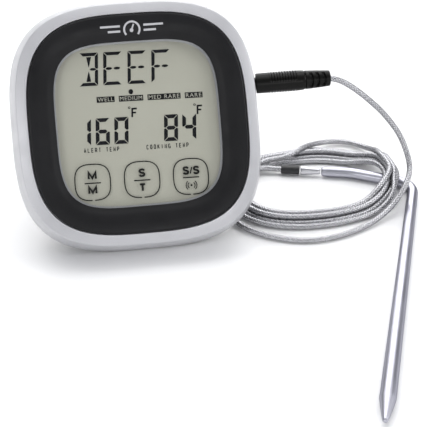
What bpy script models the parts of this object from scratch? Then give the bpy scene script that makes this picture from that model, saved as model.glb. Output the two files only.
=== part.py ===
"""Leave-in meat thermometer: touch-screen display unit on a fold-out stand, with a plug-in
cable probe.

The display unit is modelled lying on its back (X across the face, Y up the face, Z out of the
face, Z = 0 at the front rim) under an empty that leans it back on its stand. The cable and the
probe lie on the table, Z = 0. Lengths are in metres, written as millimetres times MM.
"""
from math import atan2, copysign, cos, pi, radians, sin, sqrt, tan

import bmesh
import bpy
from mathutils import Matrix, Vector

MM = 0.001
GAP = 0.3 * MM                      # clearance between neighbouring pieces

# --- display unit: outline -------------------------------------------------------------
LEAN = radians(33)                  # face leans back this far from upright
RIM_HALF = 38.0 * MM                # half width at the parting line, the widest place
RIDGE_HALF = 36.0 * MM              # half width at the front ridge
RIM_Z = -11.8 * MM                  # parting line below the front plane
RIDGE_Z = -0.9 * MM
CASE_POWER = 3.2                    # squareness of the rounded-square outline
FASCIA_HALF = 32.6 * MM
WINDOW_HALF = 24.7 * MM
WINDOW_POWER = 4.1
BACK_Z = -22.3 * MM
OUTLINE_POINTS = 64

# --- display stack -----------------------------------------------------------------------
FASCIA_UNDERSIDE_Z = -1.9 * MM
LENS_HALF, LENS_TOP_Z, LENS_THICK = 26.0 * MM, -2.2 * MM, 0.8 * MM
FILM_HALF, FILM_TOP_Z, FILM_THICK = 25.6 * MM, -3.3 * MM, 0.3 * MM
LCD_HALF, LCD_TOP_Z, LCD_THICK = 25.0 * MM, -3.9 * MM, 1.1 * MM
TRAY_OUTER_HALF, TRAY_POCKET_HALF = 30.8 * MM, 26.3 * MM
TRAY_TOP_Z, TRAY_FLOOR_Z, TRAY_UNDER_Z = -2.2 * MM, -5.3 * MM, -6.3 * MM
ZEBRA_Y, ZEBRA_WIDTH, ZEBRA_LENGTH = 22.6 * MM, 2.0 * MM, 34.0 * MM
PCB_TOP_Z, PCB_THICK = -7.4 * MM, 1.0 * MM
PCB_HALF_X, PCB_LOW_Y, PCB_HIGH_Y = 29.0 * MM, -20.4 * MM, 24.6 * MM
PCB_BACK_Z = PCB_TOP_Z - PCB_THICK

# --- batteries: two AAA cells side by side ------------------------------------------------
CELL_RADIUS, CELL_BODY, NUB_RADIUS, NUB_LENGTH = 5.25 * MM, 43.5 * MM, 1.9 * MM, 0.8 * MM
CELL_PITCH = 11.2 * MM
BAY_MID_Y, BAY_HALF_Y, BAY_HALF_X = 11.3 * MM, 11.3 * MM, 24.4 * MM
BAY_FLOOR_Z, BAY_WALL = -9.8 * MM, 1.1 * MM
CELL_Z = -15.4 * MM
DOOR_HALF_X, DOOR_HALF_Y, DOOR_THICK = 25.3 * MM, 11.9 * MM, 1.4 * MM

# --- back: stand, screws, magnets, switch and button --------------------------------------
STAND_HALF_X, STAND_LENGTH, STAND_THICK = 15.8 * MM, 25.0 * MM, 2.0 * MM
HINGE_Y, HINGE_Z = -4.4 * MM, -20.6 * MM
BARREL_RADIUS, PIN_RADIUS, BARREL_HALF_X = 1.8 * MM, 0.9 * MM, 11.6 * MM
RECESS_HALF_X, RECESS_TOP_Y, RECESS_FLOOR_Z = 16.4 * MM, -2.2 * MM, -18.5 * MM
SCREW_PLACES = [(-21.5, 27.2), (21.5, 27.2), (-20.0, -23.0), (20.0, -23.0)]
PCB_SCREW_PLACES = [(-26.4, -8.5), (26.4, -8.5)]
SCREW_RADIUS, SCREW_HEAD_RADIUS = 0.85 * MM, 1.9 * MM
SCREW_SEAT_Z, SCREW_HEAD_THICK = -19.9 * MM, 1.3 * MM
MAGNET_PLACES = [(-24.0, -6.4), (24.0, -6.4)]
MAGNET_RADIUS, MAGNET_THICK, MAGNET_PROUD = 3.2 * MM, 1.6 * MM, 0.2 * MM
SWITCH_X, SWITCH_Y, SWITCH_TRAVEL = -22.5 * MM, -15.5 * MM, 2.0 * MM
BUTTON_X, BUTTON_Y, BUTTON_RADIUS = 22.5 * MM, -15.5 * MM, 2.2 * MM

# --- jack and plug --------------------------------------------------------------------------
JACK_Y, JACK_Z = 9.8 * MM, -9.0 * MM
JACK_BACK_X, JACK_FRONT_X, JACK_LIP_X = 26.2 * MM, 34.0 * MM, 37.2 * MM
JACK_BORE, JACK_LIP_RADIUS = 1.55 * MM, 1.9 * MM
PLUG_PIN_RADIUS, PLUG_FACE_X = 1.25 * MM, 38.4 * MM
PLUG_RADIUS, PLUG_END_RADIUS = 3.1 * MM, 2.85 * MM
PLUG_COLLAR_X, PLUG_END_X, RELIEF_END_X = 37.5 * MM, 52.9 * MM, 60.9 * MM

# --- cable and probe, on the table ------------------------------------------------------------
CABLE_RADIUS = 0.9 * MM
CABLE_ARC = [(61.2, 12.89, 41.6), (63.2, 12.7, 41.2), (65.8, 12.3, 39.9), (68.6, 11.9, 38.0),
             (71.6, 11.6, 35.5), (74.9, 11.4, 32.4), (78.2, 11.4, 29.0), (81.4, 11.4, 24.9),
             (84.0, 11.6, 20.8), (86.1, 11.8, 16.2), (87.4, 11.6, 12.0), (88.0, 10.3, 8.9),
             (87.2, 7.4, 6.9), (85.2, 3.4, 5.6), (81.6, -1.4, 3.9), (76.8, -6.0, 2.0),
             (70.6, -10.0, 1.1), (63.4, -13.4, 0.9), (56.0, -15.3, 0.9), (48.8, -15.4, 0.9),
             (41.8, -13.2, 0.9), (35.4, -9.4, 0.9), (30.4, -4.4, 0.9), (27.6, 1.0, 0.9)]
CABLE_TAIL = [(48.9, 25.2, 1.75), (45.8, 25.7, 1.5), (43.0, 25.0, 1.1), (40.7, 23.2, 0.9)]
COIL_CENTRE = (57.3, 14.2)
COIL_OUTER, COIL_INNER = (28.4, 26.2), (21.4, 17.0)
COIL_HEIGHT, COIL_LIFT, COIL_LIFT_SPREAD = 3.6, 4.4, 0.75
COIL_POINTS = 48
PROBE_NECK, PROBE_TIP = (62.2, 21.8), (51.2, -99.4)
PROBE_BENDS = [((71.5, 19.4), 24.0), ((90.4, 9.2), 6.5)]     # corner, bend radius
PROBE_RADIUS, PROBE_END_RADIUS, PROBE_WALL = 1.75 * MM, 2.3 * MM, 0.4 * MM
PROBE_TAPER, PROBE_TIP_RADIUS = 9.5 * MM, 0.7 * MM
CRIMP_LENGTH = 6.6 * MM
SLEEVE_LENGTH, SLEEVE_RADIUS = 6.2 * MM, 1.5 * MM

# Middle of the display unit, stand and probe seen from above: the frame's origin.
FRAME_CENTRE = (26.32 * MM, -31.42 * MM)


def clear_scene():
    for item in list(bpy.data.objects):
        bpy.data.objects.remove(item, do_unlink=True)


# --- helpers ----------------------------------------------------------------------------------
def material(name, colour, roughness, metallic=0.0):
    mat = bpy.data.materials.get(name)
    if mat is None:
        mat = bpy.data.materials.new(name)
        mat.use_nodes = True
        shader = mat.node_tree.nodes["Principled BSDF"]
        shader.inputs["Base Color"].default_value = (*colour, 1.0)
        shader.inputs["Roughness"].default_value = roughness
        shader.inputs["Metallic"].default_value = metallic
    return mat


def silver():
    return material("silver_paint", (0.56, 0.56, 0.58), 0.38, 0.6)


def black_plastic():
    return material("black_plastic", (0.02, 0.02, 0.022), 0.45)


def grey_plastic():
    return material("grey_plastic", (0.36, 0.36, 0.37), 0.5)


def steel():
    return material("steel", (0.6, 0.6, 0.62), 0.28, 1.0)


def gold_brass():
    return material("gold_plate", (0.75, 0.6, 0.3), 0.3, 1.0)


def empty(name, location, parent=None):
    item = bpy.data.objects.new(name, None)
    item.location = location
    item.parent = parent
    bpy.context.collection.objects.link(item)
    return item


def add_object(name, bm, mat, parent, sharp=35):
    """Close a bmesh into an object, smooth but for edges sharper than `sharp` degrees."""
    bmesh.ops.recalc_face_normals(bm, faces=bm.faces)
    mesh = bpy.data.meshes.new(name)
    bm.to_mesh(mesh)
    bm.free()
    mesh.shade_smooth()
    mesh.set_sharp_from_angle(angle=radians(sharp))
    item = bpy.data.objects.new(name, mesh)
    if mat is not None:
        mesh.materials.append(mat)
    item.parent = parent
    bpy.context.collection.objects.link(item)
    return item


def place(item, location, rotation=(0, 0, 0)):
    item.location = location
    item.rotation_euler = rotation
    return item


def boolean(item, other, operation="DIFFERENCE"):
    mod = item.modifiers.new(operation.title(), "BOOLEAN")
    mod.operation = operation
    mod.object = other
    other.hide_render = True
    other.display_type = "WIRE"


def bevel(item, width, segments=2):
    mod = item.modifiers.new("Bevel", "BEVEL")
    mod.width = width
    mod.segments = segments
    mod.limit_method = "ANGLE"


def outline(half, power, centre_y=0.0, count=OUTLINE_POINTS):
    """Points of a rounded square |x|^p + |y|^p = half^p, counter-clockwise."""
    points = []
    for step in range(count):
        angle = 2 * pi * step / count
        c, s = cos(angle), sin(angle)
        points.append((half * copysign(abs(c) ** (2 / power), c),
                       half * copysign(abs(s) ** (2 / power), s) + centre_y))
    return points


def skin(bm, loops, ring_shaped=False):
    """Quads between successive vertex loops; ring_shaped also joins the last to the first."""
    pairs = list(zip(loops, loops[1:]))
    if ring_shaped:
        pairs.append((loops[-1], loops[0]))
    for first, second in pairs:
        for i in range(len(first)):
            bm.faces.new((first[i - 1], first[i], second[i], second[i - 1]))
    if not ring_shaped:
        bm.faces.new(loops[0])
        bm.faces.new(loops[-1])


def loft(name, rings, mat, parent, ring_shaped=False):
    """Skin a list of (points, z) outlines."""
    bm = bmesh.new()
    loops = [[bm.verts.new((x, y, z)) for x, y in points] for points, z in rings]
    skin(bm, loops, ring_shaped)
    return add_object(name, bm, mat, parent)


def rounded_plate(name, half, power, top_z, thick, mat, parent, count=OUTLINE_POINTS):
    shape = outline(half, power, count=count)
    return loft(name, [(shape, top_z), (shape, top_z - thick)], mat, parent)


def box(name, low, high, mat, parent, round_edge=0.0):
    """Box between two corners, its origin at its middle."""
    size = [h - l for l, h in zip(low, high)]
    bm = bmesh.new()
    bmesh.ops.create_cube(bm, size=1.0, matrix=Matrix.Diagonal((*size, 1.0)))
    item = add_object(name, bm, mat, parent)
    item.location = [(h + l) / 2 for l, h in zip(low, high)]
    if round_edge:
        bevel(item, round_edge)
    return item


def turned(name, profile, mat, parent, sides=20):
    """Revolve a closed (radius, height) profile about local Z."""
    bm = bmesh.new()
    verts = [bm.verts.new((radius, 0, height)) for radius, height in profile]
    edges = [bm.edges.new((verts[i], verts[i + 1])) for i in range(len(verts) - 1)]
    if profile[0][0] > 0 or profile[-1][0] > 0:
        edges.append(bm.edges.new((verts[-1], verts[0])))
    bmesh.ops.spin(bm, geom=verts + edges, axis=(0, 0, 1), cent=(0, 0, 0), angle=2 * pi,
                   steps=sides)
    bmesh.ops.remove_doubles(bm, verts=bm.verts, dist=1e-6)
    return add_object(name, bm, mat, parent)


def rod(name, radius, low, high, mat, parent, sides=20):
    """Cylinder about local Z from low to high."""
    return turned(name, [(0, low), (radius, low), (radius, high), (0, high)], mat, parent,
                  sides)


ALONG_X = (0, pi / 2, 0)            # turns local Z onto +X


def swept(name, stations, mat, parent, sides=16):
    """Skin circles given as (centre, direction, radius) and cap both ends."""
    bm = bmesh.new()
    loops = []
    for centre, direction, radius in stations:
        side = Vector(direction).cross(Vector((0, 0, 1))).normalized()
        up = side.cross(Vector(direction)).normalized()
        loops.append([bm.verts.new(Vector(centre) + radius * (side * cos(a) + up * sin(a)))
                      for a in (2 * pi * i / sides for i in range(sides))])
    skin(bm, loops)
    return add_object(name, bm, mat, parent)


def smooth_points(route, spacing):
    """Evenly spaced points on a smooth (Catmull-Rom) curve through a route given in mm."""
    points = [Vector(p) * MM for p in route]
    points = [2 * points[0] - points[1]] + points + [2 * points[-1] - points[-2]]
    fine = []
    for a, b, c, d in zip(points, points[1:], points[2:], points[3:]):
        for step in range(20):
            t = step / 20
            fine.append(0.5 * (2 * b + (c - a) * t + (2 * a - 5 * b + 4 * c - d) * t * t
                               + (3 * b - a - 3 * c + d) * t ** 3))
    fine.append(points[-2])
    total = sum((q - p).length for p, q in zip(fine, fine[1:]))
    step_length = total / round(total / spacing)
    even, travelled = [fine[0]], 0.0
    for p, q in zip(fine, fine[1:]):
        length = (q - p).length
        while travelled + length >= step_length * len(even) - 1e-9:
            even.append(p.lerp(q, (step_length * len(even) - travelled) / length))
        travelled += length
    return even


def cable_tube(name, route, parent):
    """Poly curve with a round bevel and filled ends through a smoothed route."""
    points = smooth_points(route, 2.5 * 2 * CABLE_RADIUS)
    curve = bpy.data.curves.new(name, "CURVE")
    curve.dimensions = "3D"
    curve.bevel_depth = CABLE_RADIUS
    curve.bevel_resolution = 2
    curve.use_fill_caps = True
    spline = curve.splines.new("POLY")
    spline.points.add(len(points) - 1)
    for spot, point in zip(spline.points, points):
        spot.co = (*point, 1.0)
    curve.materials.append(steel())
    item = bpy.data.objects.new(name, curve)
    item.parent = parent
    bpy.context.collection.objects.link(item)
    return item


# --- display unit: front -----------------------------------------------------------------------
def front_bezel(unit):
    inner_wall, shelf = 31.4 * MM, -2.2 * MM
    profile = [(FASCIA_HALF + GAP, 0.0), (RIDGE_HALF, RIDGE_Z), (RIM_HALF, RIM_Z),
               (RIM_HALF - 1.8 * MM, RIM_Z), (RIDGE_HALF - 1.9 * MM, shelf - 1.0 * MM),
               (inner_wall, shelf - 1.0 * MM), (inner_wall, shelf), (FASCIA_HALF + GAP, shelf)]
    rings = [(outline(half, CASE_POWER), z) for half, z in profile]
    bezel = loft("front_bezel", rings, silver(), unit, ring_shaped=True)
    hole = rod("jack_hole_cutter", JACK_LIP_RADIUS + GAP, 33 * MM, 42 * MM, None, unit)
    boolean(bezel, place(hole, (0, JACK_Y, JACK_Z), ALONG_X))


def fascia_frame(unit):
    """Dished black frame: crowned near its outer edge, falling to the window."""
    top = [(FASCIA_HALF, -0.15), (31.6 * MM, 0.12), (29.4 * MM, 0.1), (26.8 * MM, -0.5),
           (24.9 * MM, -1.2), (WINDOW_HALF, -1.4)]
    rings = []
    for half, height in top:
        inward = (FASCIA_HALF - half) / (FASCIA_HALF - WINDOW_HALF)
        power = CASE_POWER + (WINDOW_POWER - CASE_POWER) * inward
        rings.append((outline(half, power), height * MM))
    rings.append((outline(WINDOW_HALF, WINDOW_POWER), FASCIA_UNDERSIDE_Z))
    rings.append((outline(FASCIA_HALF, CASE_POWER), FASCIA_UNDERSIDE_Z))
    loft("fascia_frame", rings, black_plastic(), unit, ring_shaped=True)


def display_stack(unit):
    clear = material("clear_lens", (0.85, 0.88, 0.86), 0.1)
    rounded_plate("touch_lens", LENS_HALF, WINDOW_POWER, LENS_TOP_Z, LENS_THICK, clear, unit)
    film = material("sensor_film", (0.5, 0.45, 0.3), 0.3)
    rounded_plate("touch_film", FILM_HALF, WINDOW_POWER, FILM_TOP_Z, FILM_THICK, film, unit)
    glass = material("lcd_glass", (0.4, 0.4, 0.33), 0.25)
    rounded_plate("lcd_panel", LCD_HALF, WINDOW_POWER, LCD_TOP_Z, LCD_THICK, glass, unit)


def display_tray(unit):
    """Tray that holds the lens and the LCD, with posts for the case and board screws."""
    white = material("white_plastic", (0.8, 0.8, 0.78), 0.5)
    tray = rounded_plate("display_tray", TRAY_OUTER_HALF, CASE_POWER, TRAY_TOP_Z,
                         TRAY_TOP_Z - TRAY_UNDER_Z, white, unit)
    pocket = rounded_plate("tray_pocket_cutter", TRAY_POCKET_HALF, WINDOW_POWER, 1 * MM,
                           1 * MM - TRAY_FLOOR_Z, None, unit)
    boolean(tray, pocket)
    for sign in (-1, 1):
        slot = box("zebra_slot_cutter", (-ZEBRA_LENGTH / 2 - GAP, sign * ZEBRA_Y - 1.3 * MM,
                   TRAY_UNDER_Z - 1 * MM), (ZEBRA_LENGTH / 2 + GAP, sign * ZEBRA_Y + 1.3 * MM,
                   TRAY_FLOOR_Z + 1 * MM), None, unit)
        boolean(tray, slot)
    posts = [(x, y, -13.9 * MM, 2.2 * MM, SCREW_RADIUS) for x, y in SCREW_PLACES]
    posts += [(x, y, PCB_TOP_Z + GAP, 1.7 * MM, 0.6 * MM) for x, y in PCB_SCREW_PLACES]
    for x, y, end_z, radius, _ in posts:
        post = rod("post_union", radius, end_z, TRAY_FLOOR_Z - 0.4 * MM, None, unit, sides=12)
        boolean(tray, place(post, (x * MM, y * MM, 0)), "UNION")
    for x, y, end_z, _, screw in posts:
        hole = rod("post_hole_cutter", screw + GAP, end_z - 1 * MM, TRAY_FLOOR_Z - 0.3 * MM,
                   None, unit, sides=12)
        boolean(tray, place(hole, (x * MM, y * MM, 0)))


def zebra_strips(unit):
    pink = material("elastomer", (0.7, 0.45, 0.5), 0.6)
    top, bottom = TRAY_FLOOR_Z, PCB_TOP_Z + GAP
    for name, sign in (("zebra_strip_upper", 1), ("zebra_strip_lower", -1)):
        box(name, (-ZEBRA_LENGTH / 2, sign * ZEBRA_Y - ZEBRA_WIDTH / 2, bottom),
            (ZEBRA_LENGTH / 2, sign * ZEBRA_Y + ZEBRA_WIDTH / 2, top), pink, unit)


# --- display unit: electronics --------------------------------------------------------------------
def circuit_board(unit):
    green = material("circuit_board", (0.05, 0.25, 0.1), 0.5)
    board = box("main_pcb", (-PCB_HALF_X, PCB_LOW_Y, PCB_BACK_Z),
                (PCB_HALF_X, PCB_HIGH_Y, PCB_TOP_Z), green, unit)
    notch = box("jack_notch_cutter", (JACK_BACK_X - GAP, JACK_Y - 3.4 * MM, PCB_BACK_Z - MM),
                (PCB_HALF_X + MM, JACK_Y + 3.4 * MM, PCB_TOP_Z + MM), None, unit)
    boolean(board, notch)
    for x, y in PCB_SCREW_PLACES:
        hole = rod("pcb_hole_cutter", 0.9 * MM, PCB_BACK_Z - MM, PCB_TOP_Z + MM, None, unit,
                   sides=12)
        boolean(board, place(hole, (x * MM, y * MM, 0)))


def board_parts(unit):
    """Parts soldered to the back of the board."""
    top = PCB_BACK_Z - GAP
    black = material("epoxy", (0.01, 0.01, 0.01), 0.35)
    chip = turned("processor_chip", [(0, top - 1.5 * MM), (2.5 * MM, top - 1.3 * MM),
                  (4.2 * MM, top - 0.5 * MM), (4.5 * MM, top), (0, top)], black, unit)
    place(chip, (2 * MM, -11 * MM, 0))
    crystal = rod("clock_crystal", 1.0 * MM, -3 * MM, 3 * MM, steel(), unit, sides=12)
    place(crystal, (12 * MM, -8 * MM, top - 1.1 * MM), ALONG_X)
    buzzer = turned("buzzer", [(1.0 * MM, top - 4.5 * MM), (6.0 * MM, top - 4.5 * MM),
                    (6.0 * MM, top), (0, top), (0, top - 3 * MM), (1.0 * MM, top - 3 * MM)],
                    black, unit, sides=24)
    place(buzzer, (-10 * MM, -12.5 * MM, 0))


def jack_socket(unit):
    low = (JACK_BACK_X, JACK_Y - 2.8 * MM, JACK_Z - 2.4 * MM)
    high = (JACK_FRONT_X, JACK_Y + 2.8 * MM, JACK_Z + 2.4 * MM)
    socket = box("jack_socket", low, high, black_plastic(), unit)
    lip = rod("jack_lip_union", JACK_LIP_RADIUS, -3 * MM, JACK_LIP_X - JACK_FRONT_X, None, unit)
    boolean(socket, place(lip, (JACK_FRONT_X, JACK_Y, JACK_Z), ALONG_X), "UNION")
    bore = rod("jack_bore_cutter", JACK_BORE, JACK_BACK_X + MM, JACK_LIP_X + MM, None, unit)
    boolean(socket, place(bore, (0, JACK_Y, JACK_Z), ALONG_X))


# --- display unit: back -------------------------------------------------------------------------
def rear_rings(inset=0.0, shift=0.0):
    """Rear case outlines from the parting line to the back: (half width, rise, z) in mm."""
    profile = [(37.7, 0.0, -12.1), (36.5, 0.2, -13.0), (34.6, 0.8, -15.4), (33.0, 1.3, -19.0),
               (31.8, 1.8, -21.6), (31.0, 2.0, -22.3)]
    return [(outline(half * MM - inset, CASE_POWER, rise * MM), z * MM + shift)
            for half, rise, z in profile]


def rear_cavity(unit):
    """Cutter for the hollow, leaving the battery bay, stand pan and screw posts solid."""
    wall = 1.7 * MM
    rings = rear_rings(inset=wall)[:-1]
    rings[0] = (rings[0][0], -6 * MM)
    rings[-1] = (rings[-1][0], BACK_Z + wall)
    cavity = loft("rear_cavity_cutter", rings, None, unit)
    margin = BAY_WALL + 0.05 * MM
    bay = box("bay_keep", (-BAY_HALF_X - margin, BAY_MID_Y - BAY_HALF_Y - margin, -30 * MM),
              (BAY_HALF_X + margin, BAY_MID_Y + BAY_HALF_Y + margin, BAY_FLOOR_Z + margin),
              None, unit)
    pan = box("pan_keep", (-RECESS_HALF_X - 1.2 * MM, -40 * MM, -30 * MM),
              (RECESS_HALF_X + 1.2 * MM, RECESS_TOP_Y + 1.2 * MM, RECESS_FLOOR_Z + 1.2 * MM),
              None, unit)
    keeps = [bay, pan]
    for x, y in SCREW_PLACES:
        post = rod("post_keep", 2.9 * MM, -30 * MM, -14.2 * MM, None, unit, sides=12)
        keeps.append(place(post, (x * MM, y * MM, 0)))
    for x, y in MAGNET_PLACES:
        pocket = rod("magnet_keep", MAGNET_RADIUS + 1.2 * MM, -30 * MM, BACK_Z + 3.0 * MM,
                     None, unit, sides=16)
        keeps.append(place(pocket, (x * MM, y * MM, 0)))
    for keep in keeps:
        boolean(cavity, keep)
    return cavity


def hinge_lug(name, low_x, high_x, unit):
    """Lug with a round end about the hinge line and straight sides up to the pan floor."""
    section = [(BARREL_RADIUS * cos(a), -BARREL_RADIUS * sin(a))
               for a in (pi * i / 10 for i in range(11))]
    root = RECESS_FLOOR_Z - HINGE_Z + MM
    section += [(-BARREL_RADIUS, root), (BARREL_RADIUS, root)]
    bm = bmesh.new()
    skin(bm, [[bm.verts.new((x, HINGE_Y + y, HINGE_Z + z)) for y, z in section]
              for x in (low_x, high_x)])
    return add_object(name, bm, None, unit)


def stand_recess(unit):
    """Cutter for the pan that the stand folds into, leaving two hinge lugs."""
    recess = box("stand_recess_cutter", (-RECESS_HALF_X, -40 * MM, -30 * MM),
                 (RECESS_HALF_X, RECESS_TOP_Y, RECESS_FLOOR_Z), None, unit)
    for sign in (-1, 1):
        low_x, high_x = sorted((sign * (BARREL_HALF_X + GAP), sign * (RECESS_HALF_X + MM)))
        boolean(recess, hinge_lug("lug_keep", low_x, high_x, unit))
    return recess


def rear_case(unit):
    case = loft("rear_case", rear_rings(), grey_plastic(), unit)
    bay = box("bay_union", (-BAY_HALF_X - BAY_WALL, BAY_MID_Y - BAY_HALF_Y - BAY_WALL,
              -20 * MM), (BAY_HALF_X + BAY_WALL, BAY_MID_Y + BAY_HALF_Y + BAY_WALL,
              BAY_FLOOR_Z + BAY_WALL), None, unit)
    boolean(case, bay, "UNION")
    boolean(case, rear_cavity(unit))
    boolean(case, stand_recess(unit))
    cutters = [box("bay_cutter", (-BAY_HALF_X, BAY_MID_Y - BAY_HALF_Y, -30 * MM),
                   (BAY_HALF_X, BAY_MID_Y + BAY_HALF_Y, BAY_FLOOR_Z), None, unit)]
    cutters.append(box("door_seat_cutter",
                       (-DOOR_HALF_X - GAP, BAY_MID_Y - DOOR_HALF_Y - GAP, -30 * MM),
                       (DOOR_HALF_X + GAP, BAY_MID_Y + DOOR_HALF_Y + GAP,
                        BACK_Z + DOOR_THICK + GAP), None, unit))
    for x, y in SCREW_PLACES:
        hole = rod("screw_hole_cutter", SCREW_RADIUS + GAP, -30 * MM, -10 * MM, None, unit, 12)
        seat = rod("screw_seat_cutter", SCREW_HEAD_RADIUS + GAP, -30 * MM, SCREW_SEAT_Z, None,
                   unit, 16)
        cutters += [place(hole, (x * MM, y * MM, 0)), place(seat, (x * MM, y * MM, 0))]
    for x, y in MAGNET_PLACES:
        pocket = rod("magnet_cutter", MAGNET_RADIUS + GAP, -30 * MM,
                     BACK_Z - MAGNET_PROUD + MAGNET_THICK + GAP, None, unit, 16)
        cutters.append(place(pocket, (x * MM, y * MM, 0)))
    cutters.append(box("switch_slot_cutter", (SWITCH_X - 3.8 * MM, SWITCH_Y - 1.3 * MM,
                       -30 * MM), (SWITCH_X + 3.8 * MM, SWITCH_Y + 1.3 * MM, -19 * MM),
                       None, unit))
    button_hole = rod("button_hole_cutter", BUTTON_RADIUS + GAP, -30 * MM, -19 * MM, None, unit)
    cutters.append(place(button_hole, (BUTTON_X, BUTTON_Y, 0)))
    pin_hole = rod("pin_hole_cutter", PIN_RADIUS + GAP, -18.3 * MM, 18.3 * MM, None, unit, 16)
    cutters.append(place(pin_hole, (0, HINGE_Y, HINGE_Z), ALONG_X))
    for cutter in cutters:
        boolean(case, cutter)


def battery_door(unit):
    """Door that swings out about its top outer edge, with thumb grooves near its free edge."""
    pivot = empty("door_hinge", (0, BAY_MID_Y + DOOR_HALF_Y, BACK_Z), unit)
    low_y = -2 * DOOR_HALF_Y
    door = box("battery_door", (-DOOR_HALF_X, low_y, 0), (DOOR_HALF_X, 0, DOOR_THICK),
               grey_plastic(), pivot)
    for row in range(4):
        y = low_y + (3.2 + 1.6 * row) * MM
        groove = box("door_groove_cutter", (-5 * MM, y, -MM), (5 * MM, y + 0.7 * MM, 0.4 * MM),
                     None, pivot)
        boolean(door, groove)


def battery_cells(unit):
    wrap = material("cell_wrap", (0.1, 0.12, 0.3), 0.35, 0.2)
    for name, sign in (("battery_cell_upper", 1), ("battery_cell_lower", -1)):
        half = CELL_BODY / 2
        cell = turned(name, [(0, -half), (CELL_RADIUS, -half), (CELL_RADIUS, half),
                      (NUB_RADIUS, half), (NUB_RADIUS, half + NUB_LENGTH),
                      (0, half + NUB_LENGTH)], wrap, unit, sides=24)
        place(cell, (sign * 0.75 * MM, BAY_MID_Y + sign * CELL_PITCH / 2, CELL_Z),
              (0, sign * pi / 2, 0))


def contact_spring(name, x, y, unit):
    """Helical spring of round wire, its ends capped."""
    turns, radius, wire, pitch, steps = 2.5, 2.6 * MM, 0.28 * MM, 0.62 * MM, 30
    stations = []
    for step in range(steps + 1):
        angle = 2 * pi * turns * step / steps
        centre = (radius * cos(angle), radius * sin(angle), pitch * (angle / (2 * pi) - turns / 2))
        tangent = Vector((-radius * sin(angle), radius * cos(angle), pitch / (2 * pi)))
        stations.append((centre, tangent.normalized(), wire))
    spring = swept(name, stations, steel(), unit, sides=6)
    place(spring, (x, y, CELL_Z), ALONG_X)


def battery_contacts(unit):
    plate_x, thick = 23.6 * MM, 0.4 * MM
    upper, lower = BAY_MID_Y + CELL_PITCH / 2, BAY_MID_Y - CELL_PITCH / 2
    plates = [("contact_link_plate", -1, lower - 4 * MM, upper + 4 * MM),
              ("contact_plate_positive", 1, upper - 4 * MM, upper + 4 * MM),
              ("contact_plate_negative", 1, lower - 4 * MM, lower + 4 * MM)]
    for name, sign, low_y, high_y in plates:
        low_x, high_x = sorted((sign * plate_x, sign * (plate_x + thick)))
        box(name, (low_x, low_y, CELL_Z - 3.5 * MM), (high_x, high_y, CELL_Z + 3.5 * MM),
            steel(), unit)
    contact_spring("contact_spring_upper", -plate_x + 1.36 * MM, upper, unit)
    contact_spring("contact_spring_lower", plate_x - 1.36 * MM, lower, unit)


def stand(unit):
    """Fold-out stand, built in its open position with its foot flat on the table."""
    hinge_height = unit.location.z + HINGE_Y * cos(LEAN) + HINGE_Z * sin(LEAN)
    foot_pad = 1.0 * MM
    pivot = empty("stand_hinge", (0, HINGE_Y, HINGE_Z), unit)
    pivot.rotation_euler = (LEAN - pi / 2, 0, 0)
    reach = sqrt(STAND_LENGTH ** 2 - hinge_height ** 2)
    swing = atan2(reach, hinge_height)
    arm = empty("stand_arm", (0, 0, 0), pivot)
    arm.rotation_euler = (swing, 0, 0)
    plate_low = -STAND_LENGTH + foot_pad * 2.2
    leg = box("stand", (-STAND_HALF_X, -STAND_THICK / 2, plate_low),
              (STAND_HALF_X, STAND_THICK / 2, -BARREL_RADIUS * 0.5), grey_plastic(), arm)
    barrel = rod("barrel_union", BARREL_RADIUS, -BARREL_HALF_X, BARREL_HALF_X, None, arm)
    for sign in (-1, 1):
        low_x, high_x = sorted((sign * (BARREL_HALF_X), sign * (RECESS_HALF_X + MM)))
        relief = box("lug_relief_cutter", (low_x, -4 * MM, -BARREL_RADIUS - 0.6 * MM),
                     (high_x, 4 * MM, 4 * MM), None, arm)
        boolean(leg, relief)
    boolean(leg, place(barrel, (0, 0, 0), ALONG_X), "UNION")
    foot = box("foot_union", (-STAND_HALF_X, reach - 1.6 * MM, foot_pad + GAP - hinge_height),
               (STAND_HALF_X, reach + 1.6 * MM, 3.4 * MM - hinge_height), None, pivot)
    boolean(leg, foot, "UNION")
    bore = rod("barrel_bore_cutter", PIN_RADIUS + GAP, -20 * MM, 20 * MM, None, arm, 16)
    boolean(leg, place(bore, (0, 0, 0), ALONG_X))
    rubber = material("rubber", (0.03, 0.03, 0.03), 0.8)
    box("stand_foot_pad", (-STAND_HALF_X + MM, reach - 1.4 * MM, -hinge_height),
        (STAND_HALF_X - MM, reach + 1.4 * MM, foot_pad - hinge_height), rubber, pivot)
    pin = rod("stand_hinge_pin", PIN_RADIUS, -17.9 * MM, 17.9 * MM, steel(), unit, 16)
    place(pin, (0, HINGE_Y, HINGE_Z), ALONG_X)


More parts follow.
